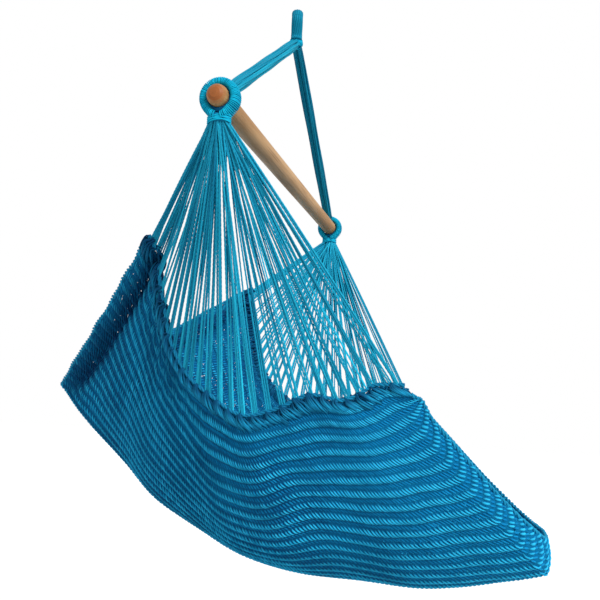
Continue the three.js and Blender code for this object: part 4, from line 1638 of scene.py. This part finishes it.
@dataclass
class Cloth(Part):
    """The woven seat: a thin ground and slanted stitches in ribs on both of its faces.

    An open patch has its middle across and along, its half size in both, and its share of spots.
    """

    surface: ClothSurface
    ribs: int = 36
    stitches: int = 150
    rib_height: float = 2.4 * MM
    lift: float = 1.0 * MM
    sink: float = 1.3 * MM
    stitch_height: float = 1.7 * MM
    least_width: float = 0.8 * MM
    most_width: float = 2.6 * MM
    fill: float = 0.25
    reach: float = 0.275
    slant: float = 0.70
    valley_scale: float = 0.72
    jitter: float = 0.06
    rib_quads: int = 4
    ground_thickness: float = 0.8 * MM
    spot_chance: float = 0.006
    tuck_chance: float = 0.06
    spot_shrink: float = 0.62
    flat: tuple[float, float] = (1.13, 1.23)
    flat_share: float = 0.8
    open_patches: tuple[tuple[float, ...], ...] = (
        (-0.65, 0.22, 0.30, 0.18, 0.05),
        (-0.41, 0.81, 0.12, 0.08, 0.20),
        (-0.53, 0.85, 0.12, 0.08, 0.20),
        (-0.72, 0.07, 0.15, 0.05, 0.06),
        (-0.35, 0.985, 0.10, 0.02, 0.25),
        (0.25, 0.98, 0.10, 0.03, 0.10),
        (-0.95, 0.48, 0.05, 0.06, 0.12),
        (0.65, 0.24, 0.30, 0.18, 0.09),
    )
    ground_seed: int = 71
    spot_seed: int = 73
    mottle_seed: int = 79
    stitch_seed: int = 81

    def corrugation(self, across: Array) -> Array:
        """The height of the ribbed ground over the middle surface."""
        return self.rib_height * -np.cos(2 * math.pi * (across + 1) / 2 * self.ribs)

    def open_spots(self, across: Array, share: Array) -> Array:
        """Where the weave is open enough to see through.

        Args:
            across: The places across the cloth.
            share: The shares of its length.

        Returns:
            A mask of the places.
        """
        chance = self.spot_chance + self.tuck_chance * self.surface.tuck(across, share)
        for x, y, half_x, half_y, part in self.open_patches:
            chance = chance + part * swell(across, x, half_x) * swell(share, y, half_y)
        return np.random.default_rng(self.spot_seed).uniform(0, 1, across.shape) < chance

    def build_ground(self, stitches: list[bpy.types.Object]) -> None:
        """Makes the thin ribbed ground that the stitches lie on, open in spots between them.

        Args:
            stitches: The pieces that lie on it; not used.
        """
        across = np.linspace(-1, 1, self.ribs * self.rib_quads + 1)
        share = np.clip(np.arange(-0.25, self.stitches + 0.5, 0.5) / self.stitches, 0, 1)
        grid = np.meshgrid(across, share, indexing="ij")
        open_quads = self.open_spots(*(g[:-1, :-1] for g in grid))
        for i, j in np.argwhere(open_quads):
            for coordinate in grid:
                corners = coordinate[i : i + 2, j : j + 2]
                corners += (corners.mean() - corners) * self.spot_shrink
        points, normals = self.surface.at(*grid, self.corrugation(grid[0]))
        half = self.ground_thickness / 2
        layers = np.stack([points + normals * half, points - normals * half])
        numbers = np.arange(layers.size // 3).reshape(layers.shape[:3])
        faces = self.ground_faces(open_quads, *numbers)
        ground = Strands()
        ground.points.append(layers.reshape(-1, 3))
        ground.corners = [f.ravel() for f in faces]
        ground.sizes = [np.full(len(f), 4) for f in faces]
        mixed = np.random.default_rng(self.ground_seed).uniform(0, 0.10, layers.shape[:3])
        # Painted light: the ground's tone is lighter towards the front edge.
        ground.tones = [(mixed + 0.5 * self.front(grid[1])).ravel()]
        ground.shades = [np.ones(layers.size // 3)]
        piece = self.piece(ground, self.finishes.ground, "cloth_ground", "seat", "seat_bed")

    @staticmethod
    def ground_faces(open_quads: Array, out: Array, back: Array) -> list[Array]:
        """The faces of the ground's two layers, with walls at its edges and round its spots.

        Args:
            open_quads: A mask of the quads that are left out.
            out: The numbers of the outer layer's points.
            back: The numbers of the inner layer's points.

        Returns:
            Lists of faces, each of four numbers of points.
        """
        kept = np.pad(~open_quads, 1)
        kept[1, 1:-1] = kept[-2, 1:-1] = kept[1:-1, 1] = kept[1:-1, -2] = True
        inner = kept[1:-1, 1:-1]
        faces = [
            np.stack([out[:-1, :-1], out[:-1, 1:], out[1:, 1:], out[1:, :-1]], -1)[inner],
            np.stack([back[:-1, :-1], back[1:, :-1], back[1:, 1:], back[:-1, 1:]], -1)[inner],
        ]
        lines = (
            (kept[:-1, 1:-1], kept[1:, 1:-1], out[:, :-1], out[:, 1:], back[:, :-1], back[:, 1:]),
            (kept[1:-1, 1:], kept[1:-1, :-1], out[:-1], out[1:], back[:-1], back[1:]),
        )
        for before, after, a, b, c, d in lines:
            wall = np.stack([a, b, d, c], -1)
            faces += [wall[after & ~before], wall[before & ~after][:, ::-1]]
        return faces

    def openness(self, face: Face, across: Array, share: Array) -> Array:
        """Painted shade on the stitches, as how far they lie in the open: less in the rear fold,
        in the rear flap, inside by the headers, and in creased and crushed patches.

        Args:
            face: The face of the cloth.
            across: The places across it.
            share: The shares of its length.

        Returns:
            The openness there, from 0 to 1.
        """
        # Painted shade: darker in the rear flap, inside by the headers, in the rear fold, and in
        # creased and crushed patches.
        flap = 0.08 * eased(1 - share / 0.06) * np.minimum(1, 3 * np.abs(across))
        inside = 0.5 * swell(np.abs(across), 1.0, 0.12) if face is Face.INNER else 0.0
        fold = np.minimum(0.98, 1.4 * self.surface.tuck(across, share) ** 0.6)
        creased = 0.28 * np.maximum(self.mottle(across, share), 0) * (1 - self.front(share))
        creased = np.minimum(0.8, creased + 0.4 * self.crushed(across, share))
        return (1 - fold) * (1 - flap) * (1 - inside) * (1 - creased)

    def mottle(self, across: Array, share: Array) -> Array:
        """A soft uneven cover of the cloth, where it is creased or pulled: it moves the rows and,
        in openness, gives painted shade.

        Args:
            across: The places across the cloth.
            share: The shares of its length.

        Returns:
            The cover there, from -1 to 1.
        """
        rng = np.random.default_rng(self.mottle_seed)
        cover = np.zeros(across.shape)
        layers = 12
        for _ in range(layers):
            turn, waves = rng.uniform(0, 2 * math.pi), rng.uniform(3, 9)
            phase = waves * math.pi * (across * math.cos(turn) + 2 * share * math.sin(turn))
            cover += np.sin(phase + rng.uniform(0, 2 * math.pi)) / layers
        return np.clip(cover * 3, -1, 1)

    @staticmethod
    def crushed(across: Array, share: Array) -> Array:
        """How crushed the cloth is, from 0 to 1, by the rear half of the headers; it scatters the
        stitches there and adds painted shade.
        """
        return swell(np.abs(across), 0.93, 0.16) * swell(share, 0.24, 0.14)

    @staticmethod
    def front(share: Array) -> Array:
        """How far each place lies in the front part of the cloth, by its front edge, which gets
        painted light.
        """
        return eased((share - 0.68) / 0.22)

    @staticmethod
    def hem(share: Array) -> Array:
        """The part of that painted light that is left towards the hem."""
        return 1 - 0.9 * eased((share - 0.88) / 0.08)

    def tones(self, rng: np.random.Generator, share: Array) -> Array:
        """The stitches' tones: mixed, with painted light that grows along the cloth and towards
        the front edge, and bolder in the flap.

        Args:
            rng: The random numbers for them.
            share: The stitches' shares of the cloth's length.

        Returns:
            The tones, from 0 to 1.
        """
        mixed = rng.beta(1.3, 1.3, share.shape) - 0.5
        bold = 1 + 0.8 * eased((0.08 - share) / 0.03) - 0.3 * self.front(share)
        # Painted light: lighter along the length and more so by the front edge.
        light = 0.25 * self.front(share) * self.hem(share)
        return np.clip(0.46 + mixed * bold + 0.2 * (share - 0.5) + light, 0, 1)

    def stitch_places(
        self, rng: np.random.Generator, side: Side, raised: bool
    ) -> tuple[Array, Array]:
        """The middles of the stitches of one half of the cloth, in wandering rows.

        Args:
            rng: The random numbers for them.
            side: The half of the cloth.
            raised: True for the rows that stand out on the face that is built.

        Returns:
            Their places across the cloth and their shares of its length.
        """
        pitch = 2 / self.ribs
        first = -1 + pitch * (0.5 if raised else 0.0)
        rows = first + pitch * np.arange(self.ribs + (0 if raised else 1))
        rows = rows[(rows * side.value > 0) | ((rows == 0) & (side is Side.LEFT))]
        step = 1 / self.stitches
        places = (np.arange(self.stitches) + 0.5) * step
        across, share = (a.ravel() for a in np.meshgrid(rows, places, indexing="ij"))
        crushed = self.crushed(across, share)
        share = share + rng.normal(0, self.jitter, share.shape) * step * (1 + 3 * crushed)
        wave = np.sin(130 * share + 9 * across)
        wander = 0.10 * self.mottle(across, share) + 0.25 * crushed * wave
        return np.clip(across + wander * pitch, -1, 1), share

    def build_stitches(self, side: Side, face: Face, rib: Rib) -> bpy.types.Object:
        """Makes the slanted stitches of one kind of row, on one face of one half of the cloth.

        Args:
            side: The half of the cloth.
            face: The face of the cloth.
            rib: The kind of row.

        Returns:
            The piece.
        """
        seed = self.stitch_seed + side.value + 3 * face.value + (9 if rib is Rib.CREST else 0)
        rng = np.random.default_rng(seed)
        raised = (rib is Rib.CREST) == (face is Face.OUTER)
        across, share = self.stitch_places(rng, side, raised)
        step = 1 / self.stitches
        run = np.linspace(-1, 1, 5)[None, :]
        length = (1.0 if raised else self.valley_scale) * rng.uniform(0.85, 1.12, (len(across), 1))
        u = across[:, None] + self.reach * (2 / self.ribs) * run * length
        v = share[:, None] + self.slant * step * run * length
        height = self.corrugation(u) + face.value * (self.lift - self.sink * np.abs(run) ** 3)
        lines, normals = self.surface.at(np.clip(u, -1, 1), np.clip(v, 0, 1), height)
        steps = self.surface.read(self.surface.long_step, across, share)
        chord = unit(lines[:, -1] - lines[:, 0])
        sine = np.linalg.norm(np.cross(chord, unit(steps)), axis=-1)
        along = np.linalg.norm(steps, axis=-1) * step
        front = self.front(share)
        wide = self.fill * (1 + 0.2 * front) * along * sine * rng.uniform(0.85, 1.15, along.shape)
        wide = np.clip(wide, self.least_width, self.most_width)
        taper = 1 - 0.45 * run**4
        tone = self.tones(rng, share)
        # Painted shade: darker towards the stitch ends, less so by the front edge, times the
        # painted shade of openness.
        shade = 1 - (0.7 - 0.35 * front)[:, None] * np.abs(run) ** 2.5
        shade = shade * self.openness(face, across, share)[:, None]
        strands = Strands()
        size = (wide[:, None] * taper, self.stitch_height * taper)
        strands.add(lines, normals, *size, tone=tone, shade=shade)
        finish = self.finishes.crest if rib is Rib.CREST else self.finishes.valley
        name = f"{side.label}_{face.label}_{rib.label}_stitches"
        return self.piece(strands, finish, name, "seat")

    def build(self) -> None:
        """Makes the cloth."""
        self.build_ground(
            [self.build_stitches(side, face, rib) for side in Side for face in Face for rib in Rib]
        )


def main() -> None:
    """Builds the chair around its frame, piece by piece."""
    logging.basicConfig(level=logging.INFO, format="%(name)s: %(message)s")
    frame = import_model()
    finishes = Finishes()
    studio = Studio(finishes)
    studio.make_camera()
    studio.make_light()
    studio.make_floor()
    LOG.info("camera, light and floor")
    surface = ClothSurface()
    harness = Harness()
    headers = {side: Header(finishes, side, surface) for side in Side}
    for side in Side:
        HarnessLeg(finishes, side, harness).build()
        headers[side].build_cord()
        LOG.info("%s leg and header cords", side.label)
    for edge in Edge:
        EdgeCord(finishes, surface, edge).build()
        LOG.info("%s edge cord", edge.label)
    HangingLoop(finishes, harness).build()
    ThroatKnot(finishes, harness).build()
    SpreaderBar(finishes, frame["nodes"]["spreader_bar"]).build()
    LOG.info("loop, throat and bar")
    for side in Side:
        Eye(finishes, side, harness).build()
        collar = Collar(finishes, side, harness)
        collar.build()
        headers[side].build_knots()
        Fan(finishes, side, harness, collar, headers[side]).build()
        LOG.info("%s eye, neck, strings and header knots", side.label)
    Cloth(finishes, surface).build()
    LOG.info("cloth")


if __name__ == "__main__":
    main()
